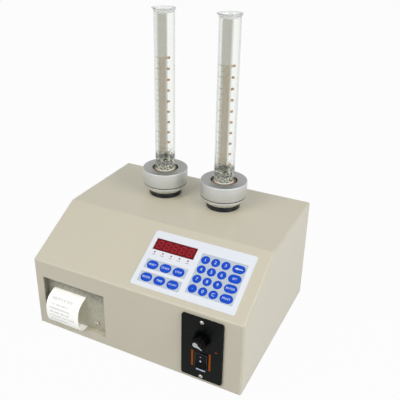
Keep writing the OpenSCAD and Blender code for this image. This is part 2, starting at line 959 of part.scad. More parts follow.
// Middle line of the paper from the roll through the slot to its free end on the sill,
// as distance behind the front face and height
paper_bulge = [-13.8, slot_z - 30];
paper_sill = recess_z + paper_t / 2 + 0.05;
paper_out = [[recess_d + 1, slot_z], [-9.5, slot_z - 5.5], [-14, slot_z - 12], paper_bulge];
paper_back = [paper_bulge, [-13.7, slot_z - 40], [-11, paper_sill], [0.3, paper_sill]];
paper_path = concat(
  [[roll_y, slot_z - 0.6], [plate_back + head_d, slot_z]],
  [for (i = [0:12]) curve_point(paper_out, i / 12)],
  [for (i = [1:9]) curve_point(paper_back, i / 9)],
  [[recess_d - 0.3, paper_sill]]
);

function unit(v) = v / norm(v);
function path_normal(p, i) =
  let (d = unit(p[min(i + 1, len(p) - 1)] - p[max(i - 1, 0)])) [-d[1], d[0]];

module paper_strip() {
  n = len(paper_path);
  color("white")
    place()
      across(paper_x - paper_w / 2, paper_w)
        polygon(concat(
          [for (i = [0:n - 1]) paper_path[i] + path_normal(paper_path, i) * paper_t / 2],
          [for (i = [n - 1:-1:0]) paper_path[i] - path_normal(paper_path, i) * paper_t / 2]
        ));
}

// Speed control

module speed_panel() {
  color(black)
    difference() {
      on_front(speed_x, speed_z)
        difference() {
          slab(speed_w, speed_h, speed_t, 3);
          translate([0, knob_z - speed_z, -cut])
            cylinder(d = knob_shaft_d + 3 + 2 * seat_gap, h = speed_t + 2 * cut, $fn = 48);
          translate([0, rocker_z - speed_z, -cut])
            slab(rocker_w + 2 * bezel_w + 2 * seat_gap, rocker_h + 2 * bezel_w + 2 * seat_gap,
              speed_t + 2 * cut, 1);
        }
      speed_screws()
        screw_hole(speed_t + cut);
    }
}

module speed_controller() {
  color(black)
    difference() {
      union() {
        on_front(speed_x, speed_z)
          translate([0, 0, -control_d])
            slab(control_w, control_h, control_d, 2);
        on_front(speed_x, knob_z)
          cylinder(d = knob_shaft_d + 3, h = speed_t + 2, $fn = 48);
        on_front(speed_x, rocker_z)
          translate([0, 0, speed_t])
            rocker_frame(rocker_w, rocker_h, speed_t + 2);
      }
      on_front(speed_x, knob_z)
        translate([0, 0, -11])
          cylinder(d = knob_shaft_d + 2 * run_gap, h = 20, $fn = 48);
      on_front(speed_x, rocker_z)
        translate([-rocker_w / 2, -rocker_h / 2, speed_t + bezel_h - pivot_sink - rock_depth])
          cube([rocker_w, rocker_h, rock_depth + pivot_sink + cut]);
    }
}

module speed_knob() {
  grip_r = knob_d / 2 - 1.5;
  stem = 8;
  color(black)
    on_front(speed_x, knob_z)
      translate([0, 0, speed_t + knob_lift]) {
        difference() {
          union() {
            cylinder(d = knob_d, h = 3.2, $fn = 96);
            linear_extrude(knob_h - 0.8)
              difference() {
                circle(grip_r, $fn = 96);
                for (i = [0:11])
                  rotate(i * 30)
                    translate([grip_r + 0.6, 0])
                      circle(1.5, $fn = 24);
              }
            cylinder(r = grip_r - 1.6, h = knob_h, $fn = 96);
          }
          translate([0, 0, -cut])
            cylinder(d = knob_shaft_d + 8, h = 5 + cut, $fn = 48);
        }
        translate([0, 0, -10])
          cylinder(d = knob_shaft_d, h = 10 + stem, $fn = 48);
      }
}

module run_rocker() {
  color(black)
    on_front(speed_x, rocker_z)
      translate([0, 0, speed_t + bezel_h - pivot_sink])
        rocker(rocker_w, rocker_h);
}

// Cylinder holders

module cup(side) {
  r = clamp_d / 2;
  hole_r = plunger_d / 2 + seat_gap;
  hole_top = cup_z + plunger_grip + seat_gap;
  seat_r = glass_d / 2 + 2 * glass_gap;
  color(satin)
    on_holder(side)
      rotate_extrude($fn = 128)
        polygon([[0, hole_top], [hole_r, hole_top], [hole_r, cup_z], [collar_d / 2, cup_z],
          [r, cone_top], [r, cup_rim_z], [neck_d / 2, cup_rim_z], [neck_d / 2, neck_top],
          [grip_seat_d / 2, neck_top], [grip_seat_d / 2, grip_z],
          [seat_r, grip_z], [seat_r, floor_z], [0, floor_z]]);
}

module clamp_ring(side) {
  r = clamp_d / 2;
  chamfer = 1;
  color(satin)
    on_holder(side)
      rotate_extrude($fn = 128)
        polygon([[neck_d / 2 + clamp_gap, ring_z], [r - chamfer / 2, ring_z], [r, ring_z + chamfer / 2],
          [r, ring_top - chamfer], [r - chamfer, ring_top],
          [ring_bore_d / 2 + chamfer, ring_top], [ring_bore_d / 2, ring_top - chamfer],
          [ring_bore_d / 2, ring_under], [neck_d / 2 + clamp_gap, ring_under]]);
}

module pressure_washer(side) {
  color(steel)
    on_holder(side)
      translate([0, 0, grip_top])
        difference() {
          cylinder(d = grip_seat_d - 2 * glass_gap, h = washer_t, $fn = 96);
          translate([0, 0, -cut])
            cylinder(d = ring_bore_d, h = washer_t + 2 * cut, $fn = 96);
        }
}

module grip_ring(side) {
  r = grip_seat_d / 2 - glass_gap;
  bore_r = glass_d / 2 + glass_gap;
  lip_r = ring_bore_d / 2 - 1;
  lip_z = ring_top - grip_lip_drop;
  color(amber)
    on_holder(side)
      rotate_extrude($fn = 96)
        polygon([[bore_r, grip_z], [r, grip_z], [r, grip_top], [lip_r, grip_top],
          [(lip_r + bore_r) / 2 + 1, (grip_top + lip_z) / 2 + 1], [bore_r + 1.2, lip_z], [bore_r, lip_z]]);
}

module glass_cylinder(side) {
  r = glass_d / 2;
  bore_r = r - glass_wall;
  top = floor_z + glass_l;
  color(glass)
    on_holder(side)
      difference() {
        union() {
          rotate_extrude($fn = 96)
            polygon([[0, floor_z + 2], [r - 5, floor_z + 2], [r - 4, floor_z], [r - 1, floor_z],
              [r, floor_z + 1], [r, top - 5], [r + rim_out, top - 2], [r + rim_out, top - 0.6],
              [r + rim_out - 0.6, top], [bore_r, top],
              [bore_r, floor_z + glass_base + 5], [bore_r - 2, floor_z + glass_base + 2],
              [bore_r - 6, floor_z + glass_base], [0, floor_z + glass_base]]);
          spout_form(r, top, 0);
        }
        spout_form(bore_r, top, cut);
        translate([0, 0, top - 20])
          cylinder(r = bore_r, h = 20 + cut, $fn = 96);
      }
}

// Pouring spout that grows to the left out of the rim of a tube of radius r
module spout_form(r, top, past) {
  hull() {
    translate([-r + 4, 0, top - 14])
      cylinder(r = 4, h = 0.1, $fn = 32);
    translate([-r - spout_out + 1.5, 0, top - 1 + past])
      cylinder(r = 1.5, h = 1, $fn = 32);
    translate([-r + 6, 0, top - 1 + past])
      cylinder(r = 6, h = 1, $fn = 32);
  }
}

// Tapping drive

module plunger(side) {
  top = top_h + cup_z + plunger_grip;
  color(steel)
    place()
      translate([side * holder_pitch / 2, holder_y, 0])
        rotate_extrude($fn = 64)
          polygon([[0, foot_z], [plunger_d / 2 - 2, foot_z], [plunger_d / 2, foot_z + 2],
            [plunger_d / 2, top - 1], [plunger_d / 2 - 1, top], [0, top]]);
}

module guide_bushes() {
  color(black)
    for (side = [-1, 1])
      on_holder(side)
        rotate_extrude($fn = 96)
          polygon([[plunger_d / 2 + run_gap, -wall - plate_t - bush_below],
            [bush_d / 2 - 1, -wall - plate_t - bush_below], [bush_d / 2, -wall - plate_t - bush_below + 1],
            [bush_d / 2, 0], [collar_d / 2 - 1, 0], [collar_d / 2, 1],
            [collar_d / 2, collar_h], [plunger_d / 2 + run_gap, collar_h]]);
}

module tapping_plate() {
  color(satin)
    difference() {
      place()
        translate([-frame_out, holder_y - plate_l / 2, plate_low])
          difference() {
            cube([2 * frame_out, plate_l, plate_t]);
            for (side = [-1, 1])
              translate([frame_out + side * holder_pitch / 2, plate_l / 2, -cut])
                cylinder(d = bush_d + 2 * seat_gap, h = plate_t + 2 * cut);
          }
      plate_screws() {
        screw_hole(plate_t);
        cylinder(d = screw_head_d + 1, h = plate_t, $fn = 36);
      }
    }
}

module side_frame(side) {
  flange = 18;
  half = plate_l / 2;
  x = side < 0 ? -frame_out : frame_x;
  difference() {
    union() {
      across(x, frame_t)
        polygon([[motor_y - gearbox_d * 0.6, base_t], [holder_y + half, base_t],
          [holder_y + half, plate_low], [holder_y - half, plate_low],
          [motor_y - gearbox_d * 0.6, motor_z + gearbox_d * 0.55]]);
      translate([side < 0 ? -frame_x - cut : frame_x + cut - flange,
        motor_y - gearbox_d * 0.6, base_t])
        cube([flange, holder_y + half - motor_y + gearbox_d * 0.6, 4]);
    }
    translate([x - cut, holder_y, shaft_z])
      rotate([0, 90, 0])
        cylinder(d = bearing_d + 2 * seat_gap, h = frame_t + 2 * cut);
    if (side < 0)
      translate([x - cut, motor_y, motor_z])
        rotate([0, 90, 0])
          cylinder(d = motor_shaft_d + 6, h = frame_t + 2 * cut);
  }
}

// Flanged bronze bush, its flange on the outer face of a side frame
module bearing_bush(side) {
  translate([side * frame_x, holder_y, shaft_z])
    rotate([0, side * 90, 0])
      difference() {
        union() {
          cylinder(d = bearing_d, h = frame_t);
          translate([0, 0, frame_t])
            cylinder(d = bearing_d + 5, h = 1.5);
        }
        translate([0, 0, -cut])
          cylinder(d = shaft_d + 2 * run_gap, h = frame_t + 1.5 + 2 * cut);
      }
}

module side_frames() {
  color(steel)
    difference() {
      place()
        for (side = [-1, 1])
          side_frame(side);
      plate_screws()
        screw_hole(plate_t / 2 + frame_screw_grip + cut);
      motor_screws()
        screw_hole(frame_t + cut);
    }
  color(brass)
    place()
      for (side = [-1, 1])
        bearing_bush(side);
}

// Radius of the cam at angle a past its step
function cam_radius(a) =
  cam_r + tap_h * min(1, max(0, (a - cam_dwell) / rise_turn));

// Snail cam: it rises over most of a turn and then lets the plunger drop at its step.
// At rest the plunger stands over the end of the low dwell.
module cam_outline() {
  step_a = 90 + cam_dwell;
  polygon([for (a = [0:4:360]) cam_radius(a) * [cos(step_a - a), sin(step_a - a)]]);
}

module camshaft() {
  left = gear_x - 4;
  right = frame_out + 4;
  hub_d = shaft_d + 14;
  collar_t = 4;
  color(steel)
    place()
      translate([0, holder_y, shaft_z]) {
        translate([left, 0, 0])
          rotate([0, 90, 0])
            cylinder(d = shaft_d, h = right - left);
        for (side = [-1, 1]) {
          across(side * holder_pitch / 2 - cam_t / 2, cam_t)
            cam_outline();
          translate([side * holder_pitch / 2 - cam_t / 2 - 6, 0, 0])
            rotate([0, 90, 0])
              cylinder(d = hub_d, h = cam_t + 12);
          translate([side * (frame_x - collar_t / 2 - 0.3) - collar_t / 2, 0, 0])
            rotate([0, 90, 0])
              cylinder(d = shaft_d + 7, h = collar_t);
        }
      }
}

// Angle in degrees by which an involute has turned away at radius r
function involute_turn(base_r, r) =
  let (t = sqrt(max(0, pow(r / base_r, 2) - 1))) t * 180 / PI - atan(t);

// Half of a tooth's angle at radius r
function tooth_half(teeth, r) =
  let (p = gear_module * teeth / 2, b = p * cos(pressure_a))
  90 / teeth - backlash / 2 / p * 90 / PI + involute_turn(b, p) - involute_turn(b, max(r, b));

module gear_outline(teeth, first_a) {
  p = gear_module * teeth / 2;
  root_r = p - 1.25 * gear_module;
  flank_r = max(root_r, p * cos(pressure_a)) + 0.15 * gear_module;
  tip_r = p + gear_module;
  steps = 4;
  radii = concat([root_r], [for (k = [0:steps]) flank_r + (tip_r - flank_r) * k / steps]);
  n = len(radii);
  polygon([for (i = [0:teeth - 1], k = [0:2 * n - 1])
    let (side = k < n ? -1 : 1, r = radii[k < n ? k : 2 * n - 1 - k],
      a = first_a + i * 360 / teeth + side * tooth_half(teeth, max(r, flank_r)))
    r * [cos(a), sin(a)]]);
}

module drive_gear() {
  color(brass)
    place()
      translate([0, holder_y, shaft_z])
        difference() {
          union() {
            across(gear_x, gear_w)
              gear_outline(gear_teeth, motor_a);
            translate([gear_x, 0, 0])
              rotate([0, 90, 0])
                cylinder(d = shaft_d + 14, h = gear_w + gear_gap - 1.8);
          }
          translate([gear_x - cut, 0, 0])
            rotate([0, 90, 0])
              cylinder(d = shaft_d + 2 * seat_gap, h = gear_w + gear_gap + 2 * cut);
          for (i = [0:5])
            rotate([i * 60, 0, 0])
              translate([gear_x - cut, pitch_r * 0.62, 0])
                rotate([0, 90, 0])
                  cylinder(d = pitch_r * 0.36, h = gear_w + 2 * cut, $fn = 48);
        }
}

module motor_pinion() {
  width = gear_w + 2;
  color(steel)
    place()
      translate([0, motor_y, motor_z]) {
        across(gear_x - 1, width)
          gear_outline(pinion_teeth, motor_a - 180 + 180 / pinion_teeth);
        translate([gear_x - 3, 0, 0])
          rotate([0, 90, 0])
            cylinder(d = motor_shaft_d, h = -frame_x + 20 - gear_x + 3);
      }
}

module gear_motor() {
  gearbox_l = 30;
  color(black)
    difference() {
      place()
        translate([-frame_x, motor_y, motor_z])
          rotate([0, 90, 0]) {
            cylinder(d = gearbox_d, h = gearbox_l);
            translate([0, 0, gearbox_l - cut])
              cylinder(d = motor_d, h = motor_l - gearbox_l + cut);
            translate([0, 0, motor_l - cut])
              cylinder(d = motor_d * 0.4, h = 4);
          }
      place()
        translate([-frame_x - cut, motor_y, motor_z])
          rotate([0, 90, 0])
            cylinder(d = motor_shaft_d + 2 * run_gap, h = 21 + cut);
      motor_screws()
        screw_hole(frame_t + motor_screw_grip + cut);
    }
}

// Sensor that counts the teeth of the drive gear from above, on a bracket of the frame
module tap_sensor() {
  barrel_d = 6;
  barrel_l = 22;
  tooth_gap = 1;
  nut_t = 3;
  nut_flats = 9;
  shelf_t = 2;
  shelf_w = 20;
  arm = nut_flats / 2 + 2;
  tip_z = shaft_z + pitch_r + gear_module + tooth_gap;
  shelf_z = tip_z + barrel_l / 2 - nut_t;
  mid_x = gear_x + gear_w / 2;
  color(black)
    place() {
      translate([mid_x, holder_y, tip_z])
        cylinder(d = barrel_d, h = barrel_l, $fn = 48);
      translate([mid_x - arm, holder_y - shelf_w / 2, shelf_z])
        cube([-frame_out - mid_x + arm, shelf_w, shelf_t]);
      translate([-frame_out - shelf_t, holder_y - shelf_w / 2, shelf_z - shelf_t - 2])
        cube([shelf_t, shelf_w, 2 * shelf_t + 2]);
      for (z = [shelf_z - nut_t, shelf_z + shelf_t])
        translate([mid_x, holder_y, z])
          rotate(30)
            cylinder(d = nut_flats / cos(30), h = nut_t, $fn = 6);
    }
}

// Mains connection

module power_inlet() {
  socket_w = 24.5;
  socket_h = 17;
  socket_d = 17;
  socket_y = -12;
  body_depth = 26;
  color(black)
    difference() {
      on_rear(inlet_x, inlet_z)
        union() {
          difference() {
            union() {
              slab(inlet_w, inlet_h, inlet_t, 4);
              translate([0, 0, -body_depth])
                slab(inlet_w - 5, inlet_h - 9, body_depth + 1, 2);
              translate([0, rocker_y, inlet_t])
                rocker_frame(mains_rocker_w, mains_rocker_h, 1);
            }
            translate([0, socket_y, inlet_t - socket_d])
              linear_extrude(socket_d + cut)
                polygon([[-socket_w / 2, -socket_h / 2], [socket_w / 2, -socket_h / 2],
                  [socket_w / 2, socket_h / 2 - 5], [socket_w / 2 - 5, socket_h / 2],
                  [-socket_w / 2 + 5, socket_h / 2], [-socket_w / 2, socket_h / 2 - 5]]);
            translate([-mains_rocker_w / 2, rocker_y - mains_rocker_h / 2,
              inlet_t + bezel_h - pivot_sink - rock_depth])
              cube([mains_rocker_w, mains_rocker_h, rock_depth + pivot_sink + cut]);
            translate([-mains_rocker_w / 2 - pivot_out, rocker_y, inlet_t + bezel_h - pivot_sink])
              rotate([0, 90, 0])
                cylinder(d = pivot_d + 2 * run_gap, h = mains_rocker_w + 2 * pivot_out, $fn = 32);
          }
          for (p = [[-7, -2], [7, -2], [0, 2]])
            translate([p[0] - 1, socket_y + p[1] - 2, inlet_t - socket_d - cut])
              cube([2, 4, socket_d - 5 + cut]);
        }
      inlet_screws()
        screw_hole(inlet_t + rear_t + screw_end + cut);
    }
}
rocker_y = 13;

module power_rocker() {
  color(black)
    on_rear(inlet_x, inlet_z)
      translate([0, rocker_y, inlet_t + bezel_h - pivot_sink])
        rocker(mains_rocker_w, mains_rocker_h);
}

// Open power supply board on pillars, beside the right side frame
module power_supply() {
  board = [in_w * 0.175, body_d * 0.45, 1.6];
  pillar_h = 8;
  pillar_d = 6;
  inset = 5;
  color(board_green)
    place()
      translate([frame_out + 4, body_d * 0.42, base_t + pillar_h]) {
        cube(board);
        for (x = [inset, board[0] - inset], y = [inset, board[1] - inset])
          translate([x, y, -pillar_h])
            cylinder(d = pillar_d, h = pillar_h + board[2] / 2, $fn = 24);
        translate([board[0] * 0.14, board[1] * 0.52, board[2] / 2])
          cube([board[0] * 0.62, board[1] * 0.33, 33]);
        translate([board[0] * 0.17, board[1] * 0.07, board[2] / 2])
          cube([board[0] * 0.45, board[1] * 0.17, 20]);
        for (x = [0.28, 0.68])
          translate([board[0] * x, board[1] * 0.37, board[2] / 2])
            cylinder(d = board[0] * 0.27, h = 26, $fn = 32);
      }
}

housing();
base_plate();
rear_panel();
rubber_feet();
screws();
keypad_overlay();
display_module();
printer_plate();
printer_mechanism();
paper_roll();
paper_strip();
speed_panel();
speed_knob();
run_rocker();
speed_controller();
cup(-1);  // left_cup
cup(1);  // right_cup
clamp_ring(-1);  // left_clamp_ring
clamp_ring(1);  // right_clamp_ring
pressure_washer(-1);  // left_pressure_washer
pressure_washer(1);  // right_pressure_washer
grip_ring(-1);  // left_grip_ring
grip_ring(1);  // right_grip_ring
glass_cylinder(-1);  // left_cylinder
glass_cylinder(1);  // right_cylinder
plunger(-1);  // left_plunger
plunger(1);  // right_plunger
guide_bushes();
tapping_plate();
side_frames();
camshaft();
drive_gear();
motor_pinion();
gear_motor();
tap_sensor();
power_inlet();
power_rocker();
power_supply();
for (k = KEYS)
  key(k);
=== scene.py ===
import math

import bpy
from mathutils import Matrix, Vector
from mathutils.bvhtree import BVHTree


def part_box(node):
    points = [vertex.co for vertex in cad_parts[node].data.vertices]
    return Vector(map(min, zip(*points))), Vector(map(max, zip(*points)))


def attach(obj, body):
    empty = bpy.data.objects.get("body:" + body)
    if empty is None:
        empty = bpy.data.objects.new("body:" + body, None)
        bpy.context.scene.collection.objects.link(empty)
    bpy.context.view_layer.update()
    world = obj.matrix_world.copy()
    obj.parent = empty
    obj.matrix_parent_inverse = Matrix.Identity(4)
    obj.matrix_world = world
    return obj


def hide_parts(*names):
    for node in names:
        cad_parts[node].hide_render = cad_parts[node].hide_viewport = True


bl_info = {
    "name": "Tap density tester",
    "version": (1, 0, 0),
    "blender": (4, 5, 0),
    "location": "3D View > Sidebar > Tester",
    "description": "Gives the packed tap density tester its finishes and its fine pieces",
    "category": "Object",
}

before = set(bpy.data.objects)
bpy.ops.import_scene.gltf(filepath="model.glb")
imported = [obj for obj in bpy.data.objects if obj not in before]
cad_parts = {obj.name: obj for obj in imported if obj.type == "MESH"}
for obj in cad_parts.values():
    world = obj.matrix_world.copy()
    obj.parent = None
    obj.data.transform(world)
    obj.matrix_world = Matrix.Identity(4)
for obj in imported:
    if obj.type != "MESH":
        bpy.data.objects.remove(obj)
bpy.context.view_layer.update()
MM = 0.001
SLOPE = math.atan2(54, 100)  # the sloping face rises 54 mm over 100 mm
INK = 0.03 * MM  # height of a printed mark over its ground
THIN_INK = 0.02 * MM  # the same on keys and digits


def linear(code):
    """Linear RGBA of an sRGB hex value such as D6CFBB."""
    parts = [int(code[i:i + 2], 16) / 255 for i in (0, 2, 4)]
    return [c / 12.92 if c <= 0.04045 else ((c + 0.055) / 1.055) ** 2.4 for c in parts] + [1]


def colour(name, description, code):
    """Colour property whose default is an sRGB hex value."""
    return bpy.props.FloatVectorProperty(
        name=name, description=description, subtype="COLOR", size=4, min=0, max=1,
        default=linear(code))


def length(name, description, millimetres):
    """Length property whose default is given in mm."""
    return bpy.props.FloatProperty(
        name=name, description=description, unit="LENGTH", precision=5, min=0,
        default=millimetres * MM)


# Settings that a user would change


class TesterColours(bpy.types.PropertyGroup):
    """Colours of the paints, films, inks and lamps."""

    housing: colour("Housing", "Powder coat of the housing", "D2CCB8")
    printer: colour("Printer plate", "Hammertone enamel of the printer plate", "C4C1AE")
    plate: colour("Control plate", "Enamel of the speed control plate", "0B100E")
    film: colour("Keypad film", "Ground of the keypad film", "EAEEF5")
    panel: colour("Key panels", "Panels printed round the keys", "C2CDD8")
    key: colour("Keys", "Print of the keys", "1850CC")
    legend: colour("Legends", "White print on keys and plate", "CFDAF6")
    window: colour("Display window", "Red acrylic of the display window", "6C0712")
    segment: colour("Display segments", "Segments behind the display window", "A81C2A")
    mark: colour("Plate marks", "Orange print on the speed control plate", "B0540A")
    scale: colour("Glass scale", "Ink of the scale on the glass", "A4702C")
    rubber: colour("Grip rings", "Rubber of the grip rings", "8A6C3A")


class TesterSizes(bpy.types.PropertyGroup):
    """Sizes of the fine pieces."""

    edge: length("Key edge", "Width of the rounded edge of a key", 0.5)
    legend: length("Legend height", "Height of the numbers on the keys", 6.6)
    digit: length("Digit height", "Height of a digit of the display", 12.4)
    tick: length("Scale line", "Thickness of a line of the glass scale", 0.55)
    chamfer: length("Turned edge", "Radius of the edges of the clamp rings", 1.2)


# Materials. A maker gets a tree and returns values of the Principled shader's inputs, patterns
# that take the place of some of them, and its relief: a height pattern and a height in mm.


def node(tree, kind, inputs=None, **settings):
    """Adds a shader node with its settings, and inputs that are values or other nodes."""
    made = tree.nodes.new("ShaderNode" + kind)
    for name, value in settings.items():
        setattr(made, name, value)
    for name, value in (inputs or {}).items():
        if isinstance(value, bpy.types.Node):
            value = value.outputs[0]
        if isinstance(value, bpy.types.NodeSocket):
            tree.links.new(value, made.inputs[name])
        else:
            made.inputs[name].default_value = value
    return made


def blank(name):
    """Material with an empty node tree."""
    made = bpy.data.materials.new(name)
    made.use_nodes = True
    made.node_tree.nodes.clear()
    return made


def finish(maker):
    """The material that a maker describes, made once."""
    made = bpy.data.materials.get(maker.__name__)
    if made:
        return made
    made = blank(maker.__name__)
    tree = made.node_tree
    values, patterns, relief = maker(tree)
    shader = node(tree, "BsdfPrincipled", values)
    if relief:
        patterns["Normal"] = node(tree, "Bump", {
            "Height": relief[0], "Distance": relief[1] * MM, "Strength": 1.0}).outputs[0]
    for socket, pattern in patterns.items():
        tree.links.new(pattern, shader.inputs[socket])
    node(tree, "OutputMaterial", {"Surface": shader})
    return made


def chosen(name):
    """A colour that is set in the panel."""
    return list(getattr(bpy.context.scene.tester_colours, name))


def scaled(base, factor):
    """A colour made lighter or darker."""
    return [min(1, c * factor) for c in base[:3]] + [1]


def grain(tree, size, detail=2.0, stretch=(1, 1, 1)):
    """Noise over the piece whose grains are about size mm wide."""
    where = node(tree, "TexCoord").outputs["Object"]
    placed = node(tree, "Mapping", {"Vector": where, "Scale": stretch})
    return node(tree, "TexNoise", {
        "Vector": placed, "Scale": 1 / (size * MM), "Detail": detail, "Roughness": 0.55})


def even(tree, base, values, patches, relief=None, detail=2.0, stretch=(1, 1, 1)):
    """Finish of one colour in lighter and darker patches, with fine relief.

    The patches are given by their size in mm and their lowest and highest share of the colour,
    the relief by the size and the height of its grains, both in mm.
    """
    size, lowest, highest = patches
    shade = node(tree, "Mix", {
        "Factor": grain(tree, size, detail), "A": scaled(base, lowest),
        "B": scaled(base, highest)}, data_type="RGBA")
    raised = relief and (grain(tree, relief[0], stretch=stretch), relief[1])
    return {"Base Color": base, **values}, {"Base Color": shade.outputs["Result"]}, raised


def powder_coated_steel(tree):
    # Sheet steel with baked powder coat: satin, with the fine orange peel of melted powder
    return even(tree, chosen("housing"), {"Roughness": 0.3, "IOR": 1.5},
                (90, 0.985, 1.015), (1.6, 0.016), 1.0)


def hammertone_enamel(tree):
    # Stoved hammertone enamel: silicone in the paint draws it into dimples about 3 mm wide
    base = chosen("printer")
    where = node(tree, "TexCoord").outputs["Object"]
    cells = node(tree, "TexVoronoi", {
        "Vector": where, "Scale": 1 / (3 * MM), "Smoothness": 1.0}, feature="SMOOTH_F1")
    # Darker along the upper and the left flange; along the upper one this is painted shade, where
    # the recess's top edge shades the plate
    low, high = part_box("printer_plate")
    parts = node(tree, "SeparateXYZ", {"Vector": where})
    left = node(tree, "MapRange", {
        "Value": parts.outputs["X"], "From Min": low.x + 4 * MM, "From Max": low.x + 34 * MM})
    top = node(tree, "MapRange", {
        "Value": parts.outputs["Z"], "From Min": high.z - 4 * MM, "From Max": high.z - 30 * MM})
    # thick: share of the full colour away from the darkened flanges, not a thickness of the coat
    thick = node(tree, "Math", {0: left, 1: top}, operation="MINIMUM")
    mottle = node(tree, "Math", {
        0: grain(tree, 3.5), 1: 1.4, 2: -0.7}, operation="MULTIPLY_ADD")
    share = node(tree, "Math", {0: thick, 1: mottle}, operation="ADD")
    shade = node(tree, "Mix", {
        "Factor": share, "A": scaled(base, 0.36), "B": scaled(base, 0.92)}, data_type="RGBA")
    values = {"Base Color": base, "Roughness": 0.4, "Metallic": 0.1, "Coat Weight": 0.2}
    return values, {"Base Color": shade.outputs["Result"]}, (cells.outputs["Distance"], 0.12)


def enamelled_plate(tree):
    # Black enamel on a steel plate, slightly green and semi-gloss, as on industrial units
    return even(tree, chosen("plate"), {"Roughness": 0.4, "Specular IOR Level": 0.1},
                (11, 0.85, 1.15), (0.9, 0.012))


def polycarbonate_film(tree):
    # Screen printed polycarbonate film with a matt face; its panels round the keys are ink.
    # Its grain, 0.05 mm wide in life, is drawn at 0.5 mm, to show
    where = node(tree, "Mapping", {
        "Vector": node(tree, "TexCoord").outputs["Object"], "Location": FILM.to_translation(),
        "Rotation": FILM.to_euler()}, vector_type="TEXTURE")
    shown = None
    for left, low, right, high in FILM_PANELS:
        # Distance from the panel's inner part, which reaches any depth
        centre = Vector((left + right, low + high, 0)) * MM / 2
        half = Vector((right - left, high - low, 1000)) * MM / 2 - Vector((PANEL_R, PANEL_R, 0))
        off = node(tree, "VectorMath", {0: where, 1: centre}, operation="SUBTRACT")
        size = node(tree, "VectorMath", {0: off}, operation="ABSOLUTE")
        past = node(tree, "VectorMath", {0: size, 1: half}, operation="SUBTRACT")
        out = node(tree, "VectorMath", {0: past, 1: (0, 0, 0)}, operation="MAXIMUM")
        gap = node(tree, "VectorMath", {0: out}, operation="LENGTH").outputs["Value"]
        inside = node(tree, "Math", {0: gap, 1: PANEL_R}, operation="LESS_THAN")
        shown = node(tree, "Math", {0: shown, 1: inside}, operation="MAXIMUM") if shown else inside
    print_mix = node(tree, "Mix", {
        "Factor": shown, "A": chosen("film"), "B": chosen("panel")}, data_type="RGBA")
    return {"Roughness": 0.35, "IOR": 1.58}, {"Base Color": print_mix.outputs["Result"]}, (
        grain(tree, 0.5), 0.006)


def embossed_key(tree):
    # Deep blue ink behind embossed polyester: satin, darker where the ink lies thick; its
    # grain is drawn at 0.6 mm, coarser than life, to show
    return even(tree, chosen("key"), {"Roughness": 0.35, "Specular IOR Level": 0.15},
                (4, 0.9, 1.1), (0.6, 0.006))


def white_ink(tree):
    # Opaque white screen ink, dead matt
    return even(tree, chosen("legend"), {"Roughness": 0.55}, (1, 0.94, 1))


def grey_ink(tree):
    # Grey screen ink of the small bars under the indicator lamps
    return even(tree, linear("8A929B"), {"Roughness": 0.5}, (0.6, 0.9, 1.3))


def orange_ink(tree):
    # Orange screen ink, thin enough to let the black plate darken it in places
    return even(tree, chosen("mark"), {"Roughness": 0.5, "Specular IOR Level": 0.1},
                (1.5, 0.75, 1.05))


def scale_ink(tree):
    # Fired amber stain of the scale: it sinks into the glass and keeps a slight gloss
    return even(tree, chosen("scale"), {"Roughness": 0.3}, (1.2, 0.85, 1.1))


def fine_line_ink(tree):
    # The same stain in lines so fine that it looks paler
    return even(tree, linear("9A8048"), {"Roughness": 0.3}, (1.2, 0.85, 1.1))


def red_acrylic(tree):
    # Cast red acrylic over a dark display: glossy, nearly black where nothing shines behind it
    return even(tree, chosen("window"), {
        "Roughness": 0.3, "IOR": 1.49, "Specular IOR Level": 0.2}, (14, 0.8, 1.3))


def lit_segment(tree):
    # Red segments behind the acrylic; their faint glow is painted light that makes them read
    # brighter than the window
    base = chosen("segment")
    return even(tree, base, {
        "Roughness": 0.2, "Emission Color": base, "Emission Strength": 0.25}, (5, 0.8, 1))


def turned_aluminium(tree):
    # Aluminium turned on a lathe and satin anodised: fine rings round its axis give soft
    # streaks. They are 0.15 mm apart in life and are drawn at 0.5 mm, to show
    base = linear("C9CAC8")
    around = node(tree, "Tangent", direction_type="RADIAL", axis="Z")
    coords = node(tree, "TexCoord")
    parts = node(tree, "SeparateXYZ", {"Vector": coords.outputs["Object"]})
    level = node(tree, "CombineXYZ", {"X": parts.outputs["X"], "Y": parts.outputs["Y"]})
    radius = node(tree, "VectorMath", {0: level}, operation="LENGTH").outputs["Value"]
    along = node(tree, "Math", {0: radius, 1: parts.outputs["Z"]}, operation="SUBTRACT")
    rings = node(tree, "TexNoise", {
        "W": along, "Scale": 1 / (0.5 * MM), "Detail": 3.0}, noise_dimensions="1D")
    side = node(tree, "Mix", {
        "Factor": rings, "A": base, "B": scaled(base, 1.22)}, data_type="RGBA")
    # Painted shade: the faces that look up are drawn darker than the sides
    up = node(tree, "SeparateXYZ", {"Vector": coords.outputs["Normal"]}).outputs["Z"]
    flat = node(tree, "MapRange", {"Value": up, "From Min": 0.4, "From Max": 0.95})
    both = node(tree, "Mix", {
        "Factor": flat, "A": side.outputs["Result"], "B": scaled(base, 0.8)}, data_type="RGBA")
    # Painted highlight: the undercut taper of the cup, which faces down, is drawn near white
    under = node(tree, "MapRange", {"Value": up, "From Min": -0.3, "From Max": -0.6})
    with_painted_light = node(tree, "Mix", {
        "Factor": under, "A": both.outputs["Result"], "B": linear("FAFAF6")}, data_type="RGBA")
    values = {"Base Color": base, "Metallic": 1.0, "Roughness": 0.55, "Anisotropic": 0.3}
    return values, {"Base Color": with_painted_light.outputs["Result"], "Tangent": around.outputs[0]}, (
        rings, 0.006)


def machined_steel(tree):
    # Ground steel shaft and cams with a thin film of oil; the grinding lines are drawn at
    # 0.5 mm, coarser than life, to show
    return even(tree, linear("A9A9AC"), {"Metallic": 1.0, "Roughness": 0.28},
                (9, 0.85, 1), (0.5, 0.004), stretch=(0.05, 1, 1))


